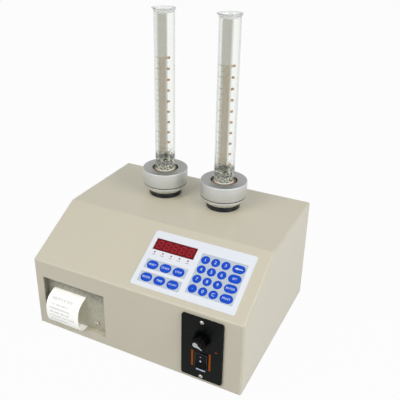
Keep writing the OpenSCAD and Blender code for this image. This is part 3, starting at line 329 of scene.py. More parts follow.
def nickel_plated_steel(tree):
    # Bright nickel on screws: slightly warm, soft from handling
    return even(tree, linear("C2BAB0"), {"Metallic": 1.0, "Roughness": 0.24},
                (2, 0.8, 1), (0.7, 0.006))


def zinc_plated_steel(tree):
    # Galvanised sheet: grey with faint spangles about 8 mm wide
    base = linear("A6AAAC")
    where = node(tree, "TexCoord").outputs["Object"]
    spangle = node(tree, "TexVoronoi", {"Vector": where, "Scale": 1 / (8 * MM)})
    grey = node(tree, "RGBToBW", {"Color": spangle.outputs["Color"]})
    shade = node(tree, "Mix", {
        "Factor": grey, "A": scaled(base, 0.8), "B": scaled(base, 1.1)}, data_type="RGBA")
    return {"Base Color": base, "Metallic": 0.9, "Roughness": 0.42}, {
        "Base Color": shade.outputs["Result"]}, (grain(tree, 1.1), 0.005)


def milled_aluminium(tree):
    # Milled aluminium plate: fine straight cutter marks along its length
    return even(tree, linear("B9BBBC"), {"Metallic": 1.0, "Roughness": 0.34},
                (12, 0.9, 1), (0.6, 0.008), stretch=(0.04, 1, 1))


def hobbed_brass(tree):
    # Brass gear as cut, slightly dulled by oil
    return even(tree, linear("B8944E"), {"Metallic": 1.0, "Roughness": 0.32},
                (6, 0.75, 1.05), (0.5, 0.006))


def moulded_abs(tree):
    # Black ABS with the fine spark-eroded grain of its mould, 0.1 mm wide in life and drawn
    # at 0.45 mm, to show
    return even(tree, linear("151617"), {"Roughness": 0.4, "Specular IOR Level": 0.3},
                (7, 0.85, 1.2), (0.45, 0.015))


def phenolic_knob(tree):
    # Compression moulded phenolic: jet black and glossy
    return even(tree, linear("040405"), {"Roughness": 0.16, "Specular IOR Level": 0.1},
                (5, 1, 1.5), (1.5, 0.006))


def turned_acetal(tree):
    # Black acetal turned on a lathe: glossy blue-black with fine rings, drawn at 0.7 mm,
    # coarser than life, to show
    return even(tree, linear("080B14"), {"Roughness": 0.12, "Specular IOR Level": 0.45},
                (6, 1, 1.6), (0.7, 0.008), stretch=(0.1, 0.1, 1))


def natural_rubber(tree):
    # Natural rubber, translucent brown at its edges
    return even(tree, chosen("rubber"), {
        "Roughness": 0.5, "Subsurface Weight": 0.3, "Subsurface Scale": 1.5 * MM},
        (5, 0.75, 1.15), (0.8, 0.02))


def nitrile_rubber(tree):
    # Black nitrile rubber of the feet: matt with a grey bloom
    return even(tree, linear("1B1B1C"), {"Roughness": 0.75}, (5, 1, 2), (0.9, 0.03))


def borosilicate_glass(tree):
    # Drawn borosilicate tube: clear, uneven at its base. Its grey edges and grey band are painted
    # reflections, and the dark flecks at its base are a painted view of the holder
    where = node(tree, "TexCoord").outputs["Object"]
    height = node(tree, "SeparateXYZ", {"Vector": where}).outputs["Z"]
    low = node(tree, "MapRange", {"Value": height, "From Min": 46 * MM, "From Max": 32 * MM})
    # The lumps of the base are up to 300 times as high as the ripple of the wall
    lumps = node(tree, "Math", {0: grain(tree, 4.5, 1.0), 1: low}, operation="MULTIPLY")
    ripple = grain(tree, 7, 1.0, (1, 1, 0.08))
    uneven = node(tree, "Math", {0: lumps, 1: 300.0, 2: ripple}, operation="MULTIPLY_ADD")
    # Painted reflection: a grey band, drawn from -2.5 to 9.5 mm along the side named below
    across = node(tree, "VectorMath", {0: where, 1: PAINTED_BAND_SIDE}, operation="DOT_PRODUCT")
    across = across.outputs["Value"]
    begins = node(tree, "MapRange", {"Value": across, "From Min": -5 * MM, "From Max": -2.5 * MM})
    ends = node(tree, "MapRange", {"Value": across, "From Min": 12.5 * MM, "From Max": 9.5 * MM})
    # thick: share of the painted reflection band, not a thicker wall
    thick = node(tree, "Math", {0: begins, 1: ends}, operation="MULTIPLY")
    painted_band = node(tree, "Mix", {
        "Factor": thick, "A": linear("FBFCFA"), "B": linear("D6D6D0")}, data_type="RGBA")
    # Painted shade: the glass is drawn greyer towards its edges, standing in for the darker room
    # that they reflect
    facing = node(tree, "LayerWeight", {"Blend": 0.5}).outputs["Facing"]
    edge = node(tree, "MapRange", {"Value": facing, "From Min": 0.5, "From Max": 0.9})
    edge_shaded = node(tree, "Mix", {
        "Factor": edge, "A": painted_band.outputs["Result"], "B": linear("868C86")}, data_type="RGBA")
    # Painted refraction: dark flecks at the base stand in for the dark holder that the thick base
    # bends into view
    fleck = node(tree, "MapRange", {
        "Value": grain(tree, 3.6, 0.0), "From Min": 0.48, "From Max": 0.58})
    flecks = node(tree, "Math", {0: fleck, 1: low}, operation="MULTIPLY")
    flecked = node(tree, "Mix", {
        "Factor": flecks, "A": edge_shaded.outputs["Result"], "B": linear("545B48")}, data_type="RGBA")
    return {"Roughness": 0.0, "IOR": 1.473, "Transmission Weight": 1.0}, {
        "Base Color": flecked.outputs["Result"]}, (uneven, 0.006)


def pressed_base(tree):
    # Foot of the tube, full of small dents. Its milky pale colour and faint glow are a painted
    #     # highlight, and its greyer edges are painted shade
    facing = node(tree, "LayerWeight", {"Blend": 0.5}).outputs["Facing"]
    edge = node(tree, "MapRange", {"Value": facing, "From Min": 0.45, "From Max": 0.9})
    edge_shaded = node(tree, "Mix", {
        "Factor": edge, "A": linear("F4F5EE"), "B": linear("8E9388")}, data_type="RGBA")
    # Painted highlight: the glass is partly milky and glows faintly
    values = {"Roughness": 0.12, "IOR": 1.473, "Transmission Weight": 0.35,
              "Emission Color": linear("FFFFFA"), "Emission Strength": 0.18}
    return values, {"Base Color": edge_shaded.outputs["Result"]}, (grain(tree, 3), 0.03)


def fire_polished_rim(tree):
    # Rim of the tube, melted smooth; its pale, slightly milky look is painted light, drawn for the
    # rim's bright highlights
    values = {"Base Color": linear("F2F4F2"), "Roughness": 0.15, "IOR": 1.473,
              "Transmission Weight": 0.6}
    return values, {}, (grain(tree, 6), 0.02)


def printed_paper(tree):
    # Coated thermal paper: white with faint rows of grey print, made brighter by a painted glow.
    # Its fibres are drawn at 0.8 mm, coarser than life, to show
    parts = node(tree, "SeparateXYZ", {"Vector": node(tree, "TexCoord").outputs["Object"]})
    row = node(tree, "Math", {0: parts.outputs["Z"], 1: 1 / (6.4 * MM)}, operation="MULTIPLY")
    share = node(tree, "Math", {0: row}, operation="FRACT")
    number = node(tree, "Math", {0: row}, operation="FLOOR")
    where = node(tree, "CombineXYZ", {"X": parts.outputs["X"], "Y": number})
    marks = node(tree, "TexNoise", {
        "Vector": where, "Scale": 1 / (2.6 * MM), "Detail": 4.0, "Roughness": 0.8})
    # Rows 6.4 mm apart are print over 45 % of their height, in marks about 2.6 mm wide; they
    # start 6 mm from the left edge, end at different lengths, and stop 70 mm above the ground
    spread = node(tree, "TexWhiteNoise", {"W": number}, noise_dimensions="1D").outputs["Value"]
    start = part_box("paper_strip")[0].x + 6 * MM
    ends = node(tree, "Math", {
        0: spread, 1: 26 * MM, 2: start + 20 * MM}, operation="MULTIPLY_ADD")
    shown = 1.0
    for value, limit, test in (
            (share, 0.45, "LESS_THAN"), (marks, 0.44, "GREATER_THAN"),
            (parts.outputs["X"], ends, "LESS_THAN"), (parts.outputs["X"], start, "GREATER_THAN"),
            (parts.outputs["Z"], 70 * MM, "LESS_THAN")):
        passed = node(tree, "Math", {0: value, 1: limit}, operation=test)
        shown = node(tree, "Math", {0: shown, 1: passed}, operation="MULTIPLY")
    print_mix = node(tree, "Mix", {
        "Factor": shown, "A": linear("FFFFFC"), "B": linear("CCCECF")}, data_type="RGBA")
    # Painted light: a faint white glow
    values = {"Roughness": 0.6, "Emission Color": linear("FFFEF6"), "Emission Strength": 0.2}
    return values, {"Base Color": print_mix.outputs["Result"]}, (grain(tree, 0.8), 0.01)


def blank_paper(tree):
    # The same paper on its roll; the edges of its turns on the end faces, 0.06 mm apart in
    # life, are drawn at 0.4 mm, to show
    low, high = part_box("paper_roll")
    centre = (low + high) / 2
    where = node(tree, "TexCoord").outputs["Object"]
    off = node(tree, "VectorMath", {0: where, 1: (0, centre.y, centre.z)}, operation="SUBTRACT")
    flat = node(tree, "VectorMath", {0: off, 1: (0, 1, 1)}, operation="MULTIPLY")
    radius = node(tree, "VectorMath", {0: flat}, operation="LENGTH").outputs["Value"]
    turns = node(tree, "TexNoise", {
        "W": radius, "Scale": 1 / (0.4 * MM)}, noise_dimensions="1D")
    shade = node(tree, "Mix", {
        "Factor": turns, "A": linear("E2E2DC"), "B": linear("FCFCF8")}, data_type="RGBA")
    return {"Roughness": 0.6}, {"Base Color": shade.outputs["Result"]}, (
        grain(tree, 0.8), 0.01)


def circuit_board(tree):
    # Glass fibre circuit board under green solder resist
    base = linear("1E5A36")
    tracks = node(tree, "TexBrick", {
        "Vector": node(tree, "TexCoord").outputs["Object"], "Scale": 1 / (6 * MM),
        "Mortar Size": 0.08, "Color1": scaled(base, 0.8), "Color2": base,
        "Mortar": scaled(base, 1.7)})
    return {"Base Color": base, "Roughness": 0.35}, {"Base Color": tracks.outputs["Color"]}, (
        tracks.outputs["Fac"], 0.02)


def motor_enamel(tree):
    # Grey enamel sprayed on the cast gearbox and the drawn motor can
    return even(tree, linear("4A4E50"), {"Roughness": 0.45, "Metallic": 0.2},
                (9, 0.85, 1.1), (1, 0.03))


def dress(maker, *names):
    """Gives CAD nodes a material."""
    for name in names:
        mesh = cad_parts[name].data
        mesh.materials.clear()
        mesh.materials.append(finish(maker))


def soften(radius, *names):
    """Rounds the sharp edges of CAD nodes by a radius, without touching their own meshes."""
    for name in names:
        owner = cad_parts[name]
        owner.modifiers.new("Weld", "WELD").merge_threshold = 0.001 * MM
        bevel = owner.modifiers.new("Bevel", "BEVEL")
        bevel.width = radius
        bevel.segments = 2
        bevel.limit_method = "ANGLE"
        bevel.angle_limit = math.radians(40)
        bevel.harden_normals = True


# Shapes


def on_slope(size):
    """Length up the slope and thickness of a leaning slab, from its upright box."""
    c, s = math.cos(SLOPE), math.sin(SLOPE)
    spread = c * c - s * s
    return (c * size.y - s * size.z) / spread, (c * size.z - s * size.y) / spread


def film_frame():
    """Frame on the keypad film from its lower left corner: X right, Y up the slope, Z out."""
    low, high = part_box("keypad_overlay")
    size = high - low
    tall, thick = on_slope(size)
    up = Vector((0, math.cos(SLOPE), math.sin(SLOPE)))
    out = Vector((0, -up.z, up.y))
    made = Matrix((Vector((1, 0, 0)), up, out)).transposed().to_4x4()
    middle = (low + high) / 2
    made.translation = middle - Vector((size.x / 2, 0, 0)) - up * tall / 2 + out * thick / 2
    return made


FILM = film_frame()
PANEL_R = 2 * MM
# Printed panels round the keys, as left, lower, right and upper edge on the film, in mm
FILM_PANELS = ((7.9, 6.9, 71.9, 23.3), (7.9, 27.9, 71.9, 43.6), (79.9, 10.8, 147.9, 73.8))


def front_frame(name):
    """Frame on the outer face of a front plate, from its middle: X right, Y up, Z out."""
    low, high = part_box(name)
    made = Matrix(((1, 0, 0), (0, 0, -1), (0, 1, 0))).to_4x4()
    made.translation = Vector(((low.x + high.x) / 2, low.y, (low.z + high.z) / 2))
    return made


def loft(rings, caps=True):
    """Skin through rings of as many points each, with or without caps at its ends."""
    count = len(rings[0])
    points = [p for ring in rings for p in ring]
    faces = []
    for i in range(0, len(points) - count, count):
        for j in range(count):
            k = (j + 1) % count
            faces.append((i + j, i + k, i + count + k, i + count + j))
    if caps:
        faces.append(tuple(range(count - 1, -1, -1)))
        faces.append(tuple(range(len(points) - count, len(points))))
    return points, faces


def disc(x, y, radius, steps=24):
    """Outline of a disc."""
    return [(x + radius * math.cos(2 * math.pi * k / steps),
             y + radius * math.sin(2 * math.pi * k / steps)) for k in range(steps)]


def lathe(profile, steps, closed=False):
    """Solid turned from (radius, height) points about Z; closed joins the last to the first."""
    rings = [[(x, y, z) for x, y in disc(0, 0, r, steps)] for r, z in profile]
    if not closed:
        return loft(rings)
    points, faces = loft(rings + rings[:1], False)
    top = len(points) - steps
    return points[:top], [tuple(i - top if i >= top else i for i in f) for f in faces]


def rounded(points, radii, steps):
    """Outline with its corners replaced by arcs; a radius of 0 keeps the corner."""
    made = []
    count = len(points)
    for i, (point, radius) in enumerate(zip(points, radii)):
        if radius == 0:
            made.append(tuple(point))
            continue
        here = Vector(point)
        back = (Vector(points[i - 1]) - here).normalized()
        on = (Vector(points[(i + 1) % count]) - here).normalized()
        half = back.angle(on) / 2
        reach = radius / math.tan(half)
        middle = here + (back + on).normalized() * radius / math.sin(half)
        first, last = here + back * reach - middle, here + on * reach - middle
        sweep = first.angle_signed(last)
        for k in range(steps + 1):
            made.append(tuple(middle + Matrix.Rotation(-sweep * k / steps, 2) @ first))
    return made


def stadium(width, height, inset, steps=16):
    """Outline of a round or oval key, drawn in by inset."""
    radius = height / 2 - inset
    centre = max(0, (width - height) / 2)
    right = [(centre + radius * math.cos(a), radius * math.sin(a))
             for a in (math.pi * (k / steps - 0.5) for k in range(steps + 1))]
    return right + [(-x, -y) for x, y in right]


def plate(outline, low, high):
    """Flat plate of an outline between two heights."""
    return loft([[(x, y, z) for x, y in outline] for z in (low, high)])


def bar(x, y, width, height):
    """Outline of an upright rectangle about a point."""
    return [(x + i * width / 2, y + j * height / 2)
            for i, j in ((-1, -1), (1, -1), (1, 1), (-1, 1))]


def printed(outline):
    """Mark of an outline in mm, a film of ink thick."""
    return plate([(x * MM, y * MM) for x, y in outline], 0, INK)


def laid(outline, place, name):
    """Flat mark of an outline, laid on a CAD node's face from the front of its own frame."""
    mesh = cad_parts[name].data
    faces = [tuple(p.vertices) for p in mesh.polygons]
    tree = BVHTree.FromPolygons([v.co for v in mesh.vertices], faces)
    into = -place.to_3x3().col[2]
    points = []
    for x, y in outline:
        hit = tree.ray_cast(place @ Vector((x, y, 20 * MM)), into)[0]
        if hit is None:
            raise ValueError("the mark lies past the edge of " + name)
        points.append(tuple(place.inverted() @ (hit - into * INK)))
    return points, [tuple(range(len(points)))]


def letters(text, size, width, bold):
    """Points and faces of flat printed letters, about the origin and no wider than width."""
    words = bpy.data.curves.new("letters", "FONT")
    words.body, words.size, words.offset = text, size, bold
    words.align_x = words.align_y = "CENTER"
    words.resolution_u = 3
    holder = bpy.data.objects.new("letters", words)
    bpy.context.scene.collection.objects.link(holder)
    bpy.context.view_layer.update()
    graph = bpy.context.evaluated_depsgraph_get()
    flat = bpy.data.meshes.new_from_object(holder.evaluated_get(graph))
    points = [tuple(v.co) for v in flat.vertices]
    faces = [tuple(p.vertices) for p in flat.polygons]
    bpy.data.objects.remove(holder)
    bpy.data.curves.remove(words)
    bpy.data.meshes.remove(flat)
    xs, ys = [p[0] for p in points], [p[1] for p in points]
    x0, y0 = (min(xs) + max(xs)) / 2, (min(ys) + max(ys)) / 2
    fit = min(1, width / (max(xs) - min(xs)))
    return [((x - x0) * fit, (y - y0) * fit, z) for x, y, z in points], faces


def moved(part, offset):
    """A part's points and faces, shifted."""
    return [tuple(Vector(p) + Vector(offset)) for p in part[0]], part[1]


def piece(name, parts, body, place, replaces=(), crease=35):
    """Mesh of (points and faces, material) parts at a place in the row frame, on a CAD body."""
    mesh = bpy.data.meshes.new(name)
    points, faces, which, makers = [], [], [], []
    for (more, polygons), maker in parts:
        if maker not in makers:
            makers.append(maker)
            mesh.materials.append(finish(maker))
        faces += [tuple(i + len(points) for i in f) for f in polygons]
        which += [makers.index(maker)] * len(polygons)
        points += more
    mesh.from_pydata(points, [], faces)
    mesh.polygons.foreach_set("material_index", which)
    mesh.shade_smooth()
    mesh.set_sharp_from_angle(angle=math.radians(crease))
    made = bpy.data.objects.new(name, mesh)
    bpy.context.scene.collection.objects.link(made)
    made.matrix_world = place
    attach(made, body)
    if replaces:
        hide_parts(*replaces)
    return made


# Operators, one for each group of pieces


class TESTER_OT_sheet_metal(bpy.types.Operator):
    """Finish the housing, the panels, the feet and the screws"""

    bl_idname = "tester.sheet_metal"
    bl_label = "Sheet metal"

    def execute(self, context):
        dress(powder_coated_steel, "housing", "rear_panel")
        dress(zinc_plated_steel, "base_plate")
        dress(nitrile_rubber, "rubber_feet")
        dress(nickel_plated_steel, "screws")
        return {"FINISHED"}


KEY_LEGENDS = {"key_point": ".", "key_clear": "C", "key_shift": ""}  # others show their name
WORD_H = 4.2 * MM  # height of a word on a key
KEY_MARGIN = 2.2 * MM  # bare ink left and right of a word
LEGEND_BOLD = 0.06 * MM
# Arrow of the key without a word, in mm
ARROW = ((-1.5, -2.1), (-1.5, -0.9), (6, -0.7), (6, 0.7), (-1.5, 0.9), (-1.5, 2.1), (-6, 0))
# Edge of a key from its side to its flat top: inset and drop as shares of the edge's width
KEY_EDGE = ((0, 0.8), (0.12, 0.45), (0.4, 0.2), (1, 0.06), (3, 0))


class TESTER_OT_keypad(bpy.types.Operator):
    """Print the keypad film and make its embossed keys"""

    bl_idname = "tester.keypad"
    bl_label = "Keypad"

    def execute(self, context):
        sizes = context.scene.tester_sizes
        edge = sizes.edge
        dress(polycarbonate_film, "keypad_overlay")
        place = FILM.to_3x3().to_4x4()
        for name in sorted(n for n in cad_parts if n.startswith("key_")):
            low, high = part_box(name)
            size = high - low
            tall, thick = on_slope(size)
            top = thick / 2
            rings = [(0, -top)] + [(edge * i, top - edge * drop) for i, drop in KEY_EDGE]
            cap = loft([[(x, y, z) for x, y in stadium(size.x, tall, i)] for i, z in rings])
            text = KEY_LEGENDS.get(name, name[len("key_"):].upper())
            if text:
                height = sizes.legend if len(text) == 1 else WORD_H
                mark = letters(text, height, size.x - 2 * KEY_MARGIN, LEGEND_BOLD)
            else:
                mark = [(x * MM, y * MM, 0) for x, y in ARROW], [tuple(range(len(ARROW)))]
            mark = moved(mark, (0, 0, top + THIN_INK))
            place.translation = (low + high) / 2
            piece(name + "_cap", [(cap, embossed_key), (mark, white_ink)], name, place,
                  [name])
        return {"FINISHED"}


# Places on the film from its lower left corner, in mm
WINDOW_AT, WINDOW_SIZE, WINDOW_GAP = (39.25, 68.4), (64.1, 18.8), 0.35
LAMPS_X, LAMPS_Y = [13.1 + 13.05 * i for i in range(5)], 55.3
CAPTIONS_Y, CAPTION_H, CAPTION_WIDTHS = 51.6, 0.9, (4.6, 5.4, 4.2, 5.0, 5.2)
DIGIT_PITCH = 11.9
DOME = ((1.2, -0.1), (1.2, 0.15), (1.0, 0.45), (0.6, 0.65), (0.2, 0.72))  # radius, height
# Segments of a digit: steps to the side and up from its middle, and whether they are upright
SEGMENTS = ((0, 2, 0), (0, 0, 0), (0, -2, 0), (-1, 1, 1), (1, 1, 1), (-1, -1, 1), (1, -1, 1))
DIGIT_LEAN = 0.12


def segment(middle, height, side, up, upright):
    """Outline of one segment of a leaning digit; its sizes are shares of the digit's height."""
    arm, thick = height * 0.29, height * 0.11
    x, y = side * arm, up * height * (0.25 if upright else 0.225)
    long, fat = height * 0.2 if upright else arm - thick / 2, thick / 2
    shape = [(-long, 0), (fat - long, -fat), (long - fat, -fat),
             (long, 0), (long - fat, fat), (fat - long, fat)]
    if upright:
        shape = [(-v, u) for u, v in shape]
    return [(middle.x + x + u + (y + v) * DIGIT_LEAN, middle.y + y + v) for u, v in shape]


class TESTER_OT_display(bpy.types.Operator):
    """Make the display window with its digits and the indicator lamps"""

    bl_idname = "tester.display"
    bl_label = "Display"

    def execute(self, context):
        height = context.scene.tester_sizes.digit
        dress(circuit_board, "display_module")
        middle = Vector(WINDOW_AT) * MM
        wide, tall = ((v - 2 * WINDOW_GAP) * MM for v in WINDOW_SIZE)
        bottom, top, bevel = -0.3 * MM, -0.08 * MM, 0.12 * MM
        lens = loft([[(x, y, z) for x, y in bar(*middle, wide - 2 * i, tall - 2 * i)]
                     for i, z in ((0, bottom), (0, top - bevel), (bevel, top))])
        parts = [(lens, red_acrylic)]
        for i in range(-2, 3):
            centre = middle + Vector((i * DIGIT_PITCH * MM, 0))
            for shape in SEGMENTS:
                outline = segment(centre, height, *shape)
                parts.append((plate(outline, top, top + THIN_INK), lit_segment))
        piece("display_window", parts, "root", FILM)
        dome = lathe([(r * MM, z * MM) for r, z in DOME], 24)
        # The lamp domes share the segments' painted glow
        lamps = [(moved(dome, (x * MM, LAMPS_Y * MM, 0)), lit_segment) for x in LAMPS_X]
        piece("indicator_lamps", lamps, "root", FILM)
        bars = [(printed(bar(x, CAPTIONS_Y, w, CAPTION_H)), grey_ink)
                for x, w in zip(LAMPS_X, CAPTION_WIDTHS)]
        piece("lamp_captions", bars, "root", FILM)
        return {"FINISHED"}


class TESTER_OT_printer(bpy.types.Operator):
    """Finish the printer's plate, paper and mechanism"""

    bl_idname = "tester.printer"
    bl_label = "Printer"

    def execute(self, context):
        dress(hammertone_enamel, "printer_plate")
        dress(moulded_abs, "printer_mechanism")
        dress(printed_paper, "paper_strip")
        dress(blank_paper, "paper_roll")
        return {"FINISHED"}


# Marks on the speed control plate from its middle, in mm
PLATE_BARS = (
    # X, Y, width, height
    ((-13.4, -17, 2.6, 28), orange_ink), ((12.2, -17, 2.6, 28), orange_ink),
    ((-0.8, -34.6, 13.5, 3), white_ink), ((20.9, 3, 3.6, 1.2), orange_ink))
DIAL_Y, DIAL_R, DOT_R = 17.5, 17.5, 0.36
DOT_TURNS = [math.radians(30 * k) for k in range(-5, 6)]
# Pointer on the knob's face, from its middle: a round head that narrows to a tip
POINTER_HEAD, POINTER_TIP, POINTER_R = Vector((-2.2, 1.2)), Vector((7.4, -3.8)), 3.7
# Height on the rocker and radius of its two marks, a little left of its middle: a small printed
# dot
# # near its top, and a larger dot near its middle that is a painted highlight on the rocker's bend
ROCKER_DOT_AND_GLINT_X, ROCKER_DOT_AND_GLINT = -0.4, ((7.6, 0.8), (0.6, 1.3))


class TESTER_OT_speed_control(bpy.types.Operator):
    """Print the speed control plate and finish its knob and rocker"""

    bl_idname = "tester.speed_control"
    bl_label = "Speed control"

    def execute(self, context):
        dress(enamelled_plate, "speed_panel")
        dress(moulded_abs, "speed_controller")
        dress(phenolic_knob, "speed_knob", "run_rocker")
        soften(0.3 * MM, "speed_panel", "speed_knob", "run_rocker")
        marks = [(printed(bar(*sizes)), maker) for sizes, maker in PLATE_BARS]
        for a in DOT_TURNS:
            dot = disc(DIAL_R * math.sin(a), DIAL_Y + DIAL_R * math.cos(a), DOT_R, 12)
            marks.append((printed(dot), orange_ink))
        piece("speed_plate_marks", marks, "root", front_frame("speed_panel"))
        along = (POINTER_TIP - POINTER_HEAD).normalized()
        across = Vector((-along.y, along.x))
        turns = [math.radians(35 + 14.5 * k) for k in range(21)]
        shape = [POINTER_HEAD + POINTER_R * (math.cos(a) * along + math.sin(a) * across)
                 for a in turns]
        shape += [POINTER_TIP + back * along + side * across
                  for back, side in ((-3, -0.9), (0, -0.7), (0, 0.7), (-3, 0.9))]
        inlay = plate([(p.x * MM, p.y * MM) for p in shape], -0.1 * MM, 0.12 * MM)
        piece("knob_pointer", [(inlay, milled_aluminium)], "knob", front_frame("speed_knob"))
        on_rocker = front_frame("run_rocker")
        # The second of these, in white ink, is a painted highlight
        dot_and_glint = [(laid(disc(ROCKER_DOT_AND_GLINT_X * MM, y * MM, r * MM), on_rocker, "run_rocker"),
                 white_ink) for y, r in ROCKER_DOT_AND_GLINT]
        piece("rocker_dots", dot_and_glint, "run_rocker", on_rocker)
        return {"FINISHED"}


# Half section of a cup in mm: radius, height, and how far that corner is rounded
CUP_PROFILE = (
    (0, 12.05, 0), (6.05, 12.05, 0), (6.05, 0, 0), (26, 0, 0.8), (35.5, 9, 0.8),
    (35.5, 11.2, 0.5), (31.5, 11.2, 0), (31.5, 12.5, 0.2), (28, 12.5, 0), (28, 29, 0.5),
    (24, 29, 0.3), (24, 23.25, 0), (15.8, 23.25, 0), (15.8, 20, 0), (0, 20, 0))
RING_BORE, RING_THREAD, RING_TOP = 20.5 * MM, 28.3 * MM, 6 * MM


class TESTER_OT_holders(bpy.types.Operator):
    """Turn the cups, clamp rings, collars and rubber rings"""

    bl_idname = "tester.holders"
    bl_label = "Cylinder holders"

    def execute(self, context):
        edge = context.scene.tester_sizes.chamfer
        outline = rounded([p[:2] for p in CUP_PROFILE], [p[2] for p in CUP_PROFILE], 3)
        cup = lathe([(r * MM, z * MM) for r, z in outline], 96)
        for side in ("left", "right"):
            low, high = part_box(side + "_cup")
            place = Matrix.Translation(((low.x + high.x) / 2, (low.y + high.y) / 2, low.z))
            piece(side + "_turned_cup", [(cup, turned_aluminium)], side + "_holder", place,
                  [side + "_cup"])
            low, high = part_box(side + "_clamp_ring")
            place.translation.z = low.z
            r, tall = (high.x - low.x) / 2, high.z - low.z
            under = tall - RING_TOP
            profile = ((RING_THREAD, 0), (r, 0), (r, tall), (RING_BORE, tall),
                       (RING_BORE, under), (RING_THREAD, under))
            radii = (0.3 * MM, 0.5 * MM, edge * 1.2, edge, 0.3 * MM, 0)
            ring = lathe(rounded(profile, radii, 5), 128, True)
            piece(side + "_turned_ring", [(ring, turned_aluminium)], side + "_ring", place,
                  [side + "_clamp_ring"])
            dress(natural_rubber, side + "_grip_ring")
            dress(zinc_plated_steel, side + "_pressure_washer")
        dress(turned_acetal, "guide_bushes")
        return {"FINISHED"}


# Glass tube: half section, marks and spout, in mm
TUBE_R, BORE_R, TUBE_TALL = 15.4, 14.0, 260.5
STATIONS = (46, 80, 130, 180, 225)  # heights at which the long wall is divided
FOOT = [(0.01, 1.6), (6, 1.4), (10.5, 0.7), (12.5, 0.1), (13.6, 0.1), (14.6, 0.5), (15.2, 1.2),
        (15.4, 2.2)] + [(TUBE_R, z) for z in (10, 13, 16, 19, 24, 30, 38)]
# Below the rim: radius, and depth under its top
RIM = [(TUBE_R, d) for d in (18, 12, 8, 6)] + [
    (15.5, 4.5), (15.9, 3), (16.6, 1.8), (17.1, 1.1), (17.1, 0.5), (16.7, 0), (16.1, 0),
    (15.3, 0.8), (14.6, 2), (14.2, 3.5)] + [(BORE_R, d) for d in (6, 8, 12, 18)]
FLOOR = [(BORE_R, 36), (13.6, 33.5), (12.6, 31.6), (11, 30.2), (9, 29.4), (5, 29.05), (0.01, 29)]
TUBE_PROFILE = (FOOT + [(TUBE_R, z) for z in STATIONS] + [(r, TUBE_TALL - d) for r, d in RIM]
                + [(BORE_R, z) for z in reversed(STATIONS)] + FLOOR)
POLISHED, PRESSED = TUBE_TALL - 5.5, 16.2  # the rim's finish begins and the foot's ends here
# Spout: the height that it bends, how far it is drawn out and down, how far it is pinched in
# beside; its half width, place and half width of the pinches, in radians; power of its curve
SPOUT_TALL, SPOUT_OUT, SPOUT_DOWN, PINCH_IN = 14, 3.2, 0.6, 0.5
SPOUT_WIDE, PINCH_AT, PINCH_WIDE, SPOUT_CURVE = 0.42, 0.75, 0.3, 2.2
SCALE_ZERO, SCALE_PER_ML = 30.3, 1.622  # height of 0 mL over the foot, and of each mL
TENS, FIVES, ONES = 18, 14, 10  # lengths of the scale's lines
NUMBER_H, NUMBER_W, NUMBER_X = 4.6, 7.5, 4.6
SCALE_R = 15.43 * MM
SCALE_TURN = math.radians(-58)
# Side of the tube on which its painted reflection band lies
PAINTED_BAND_SIDE = (math.cos(math.radians(-154)), math.sin(math.radians(-154)), 0)


def spouted(points):
    """Points of the tube, with its rim drawn out to a spout towards -X and pinched beside it."""
    made = []
    for x, y, z in points:
        turn = math.atan2(y, -x)
        up = max(0, 1 - (TUBE_TALL - z / MM) / SPOUT_TALL) ** SPOUT_CURVE
        pull = math.exp(-(turn / SPOUT_WIDE) ** 2) * up
        pinch = math.exp(-((abs(turn) - PINCH_AT) / PINCH_WIDE) ** 2) * up
        k = 1 + (SPOUT_OUT * pull - PINCH_IN * pinch) * MM / math.hypot(x, y)
        made.append((x * k, y * k, z - SPOUT_DOWN * MM * pull))
    return made


def wrapped(points):
    """Points drawn as distance round the glass and height, bent round it."""
    return [(SCALE_R * math.cos(SCALE_TURN + x / SCALE_R),
             SCALE_R * math.sin(SCALE_TURN + x / SCALE_R), z) for x, z in points]


def scale_line(long, z, thick):
    """Line of the scale that ends at its right-hand edge, bent round the glass."""
    count = 12
    points = wrapped([(long * (k / count - 1), z + s * thick / 2)
                      for s in (-1, 1) for k in range(count + 1)])
    return points, [(k, k + 1, count + 2 + k, count + 1 + k) for k in range(count)]


class TESTER_OT_glassware(bpy.types.Operator):
    """Draw the glass cylinders with their scales"""

    bl_idname = "tester.glassware"
    bl_label = "Glass cylinders"

    def execute(self, context):
        tick = context.scene.tester_sizes.tick
        points, faces = lathe([(r * MM, z * MM) for r, z in TUBE_PROFILE], 96)
        drawn = spouted(points), faces
        marks = []
        for volume in range(10, 101):
            z = (SCALE_ZERO + volume * SCALE_PER_ML) * MM
            long = TENS if volume % 10 == 0 else FIVES if volume % 5 == 0 else ONES
            marks.append((scale_line(long * MM, z, tick), fine_line_ink))
            if volume % 10 == 0:
                points, faces = letters(str(volume), NUMBER_H * MM, NUMBER_W * MM, 0.3 * MM)
                number = wrapped([(x + NUMBER_X * MM, y + z) for x, y, _ in points])
                marks.append(((number, faces), scale_ink))
        for side in ("left", "right"):
            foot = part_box(side + "_cylinder")[0].z
            low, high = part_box(side + "_cup")
            centre = (low + high) / 2
            place = Matrix.Translation((centre.x, centre.y, foot))
            tube = piece(side + "_glass_tube", [(drawn, borosilicate_glass)], side + "_glass",
                         place, [side + "_cylinder"], 60)
            for maker in (fire_polished_rim, pressed_base):
                tube.data.materials.append(finish(maker))
            for face in tube.data.polygons:
                z = face.center.z / MM
                face.material_index = 1 if z > POLISHED else 2 if z < PRESSED else 0
            piece(side + "_scale", marks, side + "_glass", place)
        return {"FINISHED"}


class TESTER_OT_drive(bpy.types.Operator):
    """Finish the tapping drive inside the housing"""

    bl_idname = "tester.drive"
    bl_label = "Tapping drive"

    def execute(self, context):
        dress(machined_steel, "camshaft", "motor_pinion", "left_plunger", "right_plunger")
        dress(milled_aluminium, "tapping_plate")
        dress(zinc_plated_steel, "side_frames")
        dress(hobbed_brass, "drive_gear")
        dress(motor_enamel, "gear_motor")
        dress(moulded_abs, "tap_sensor")
        return {"FINISHED"}


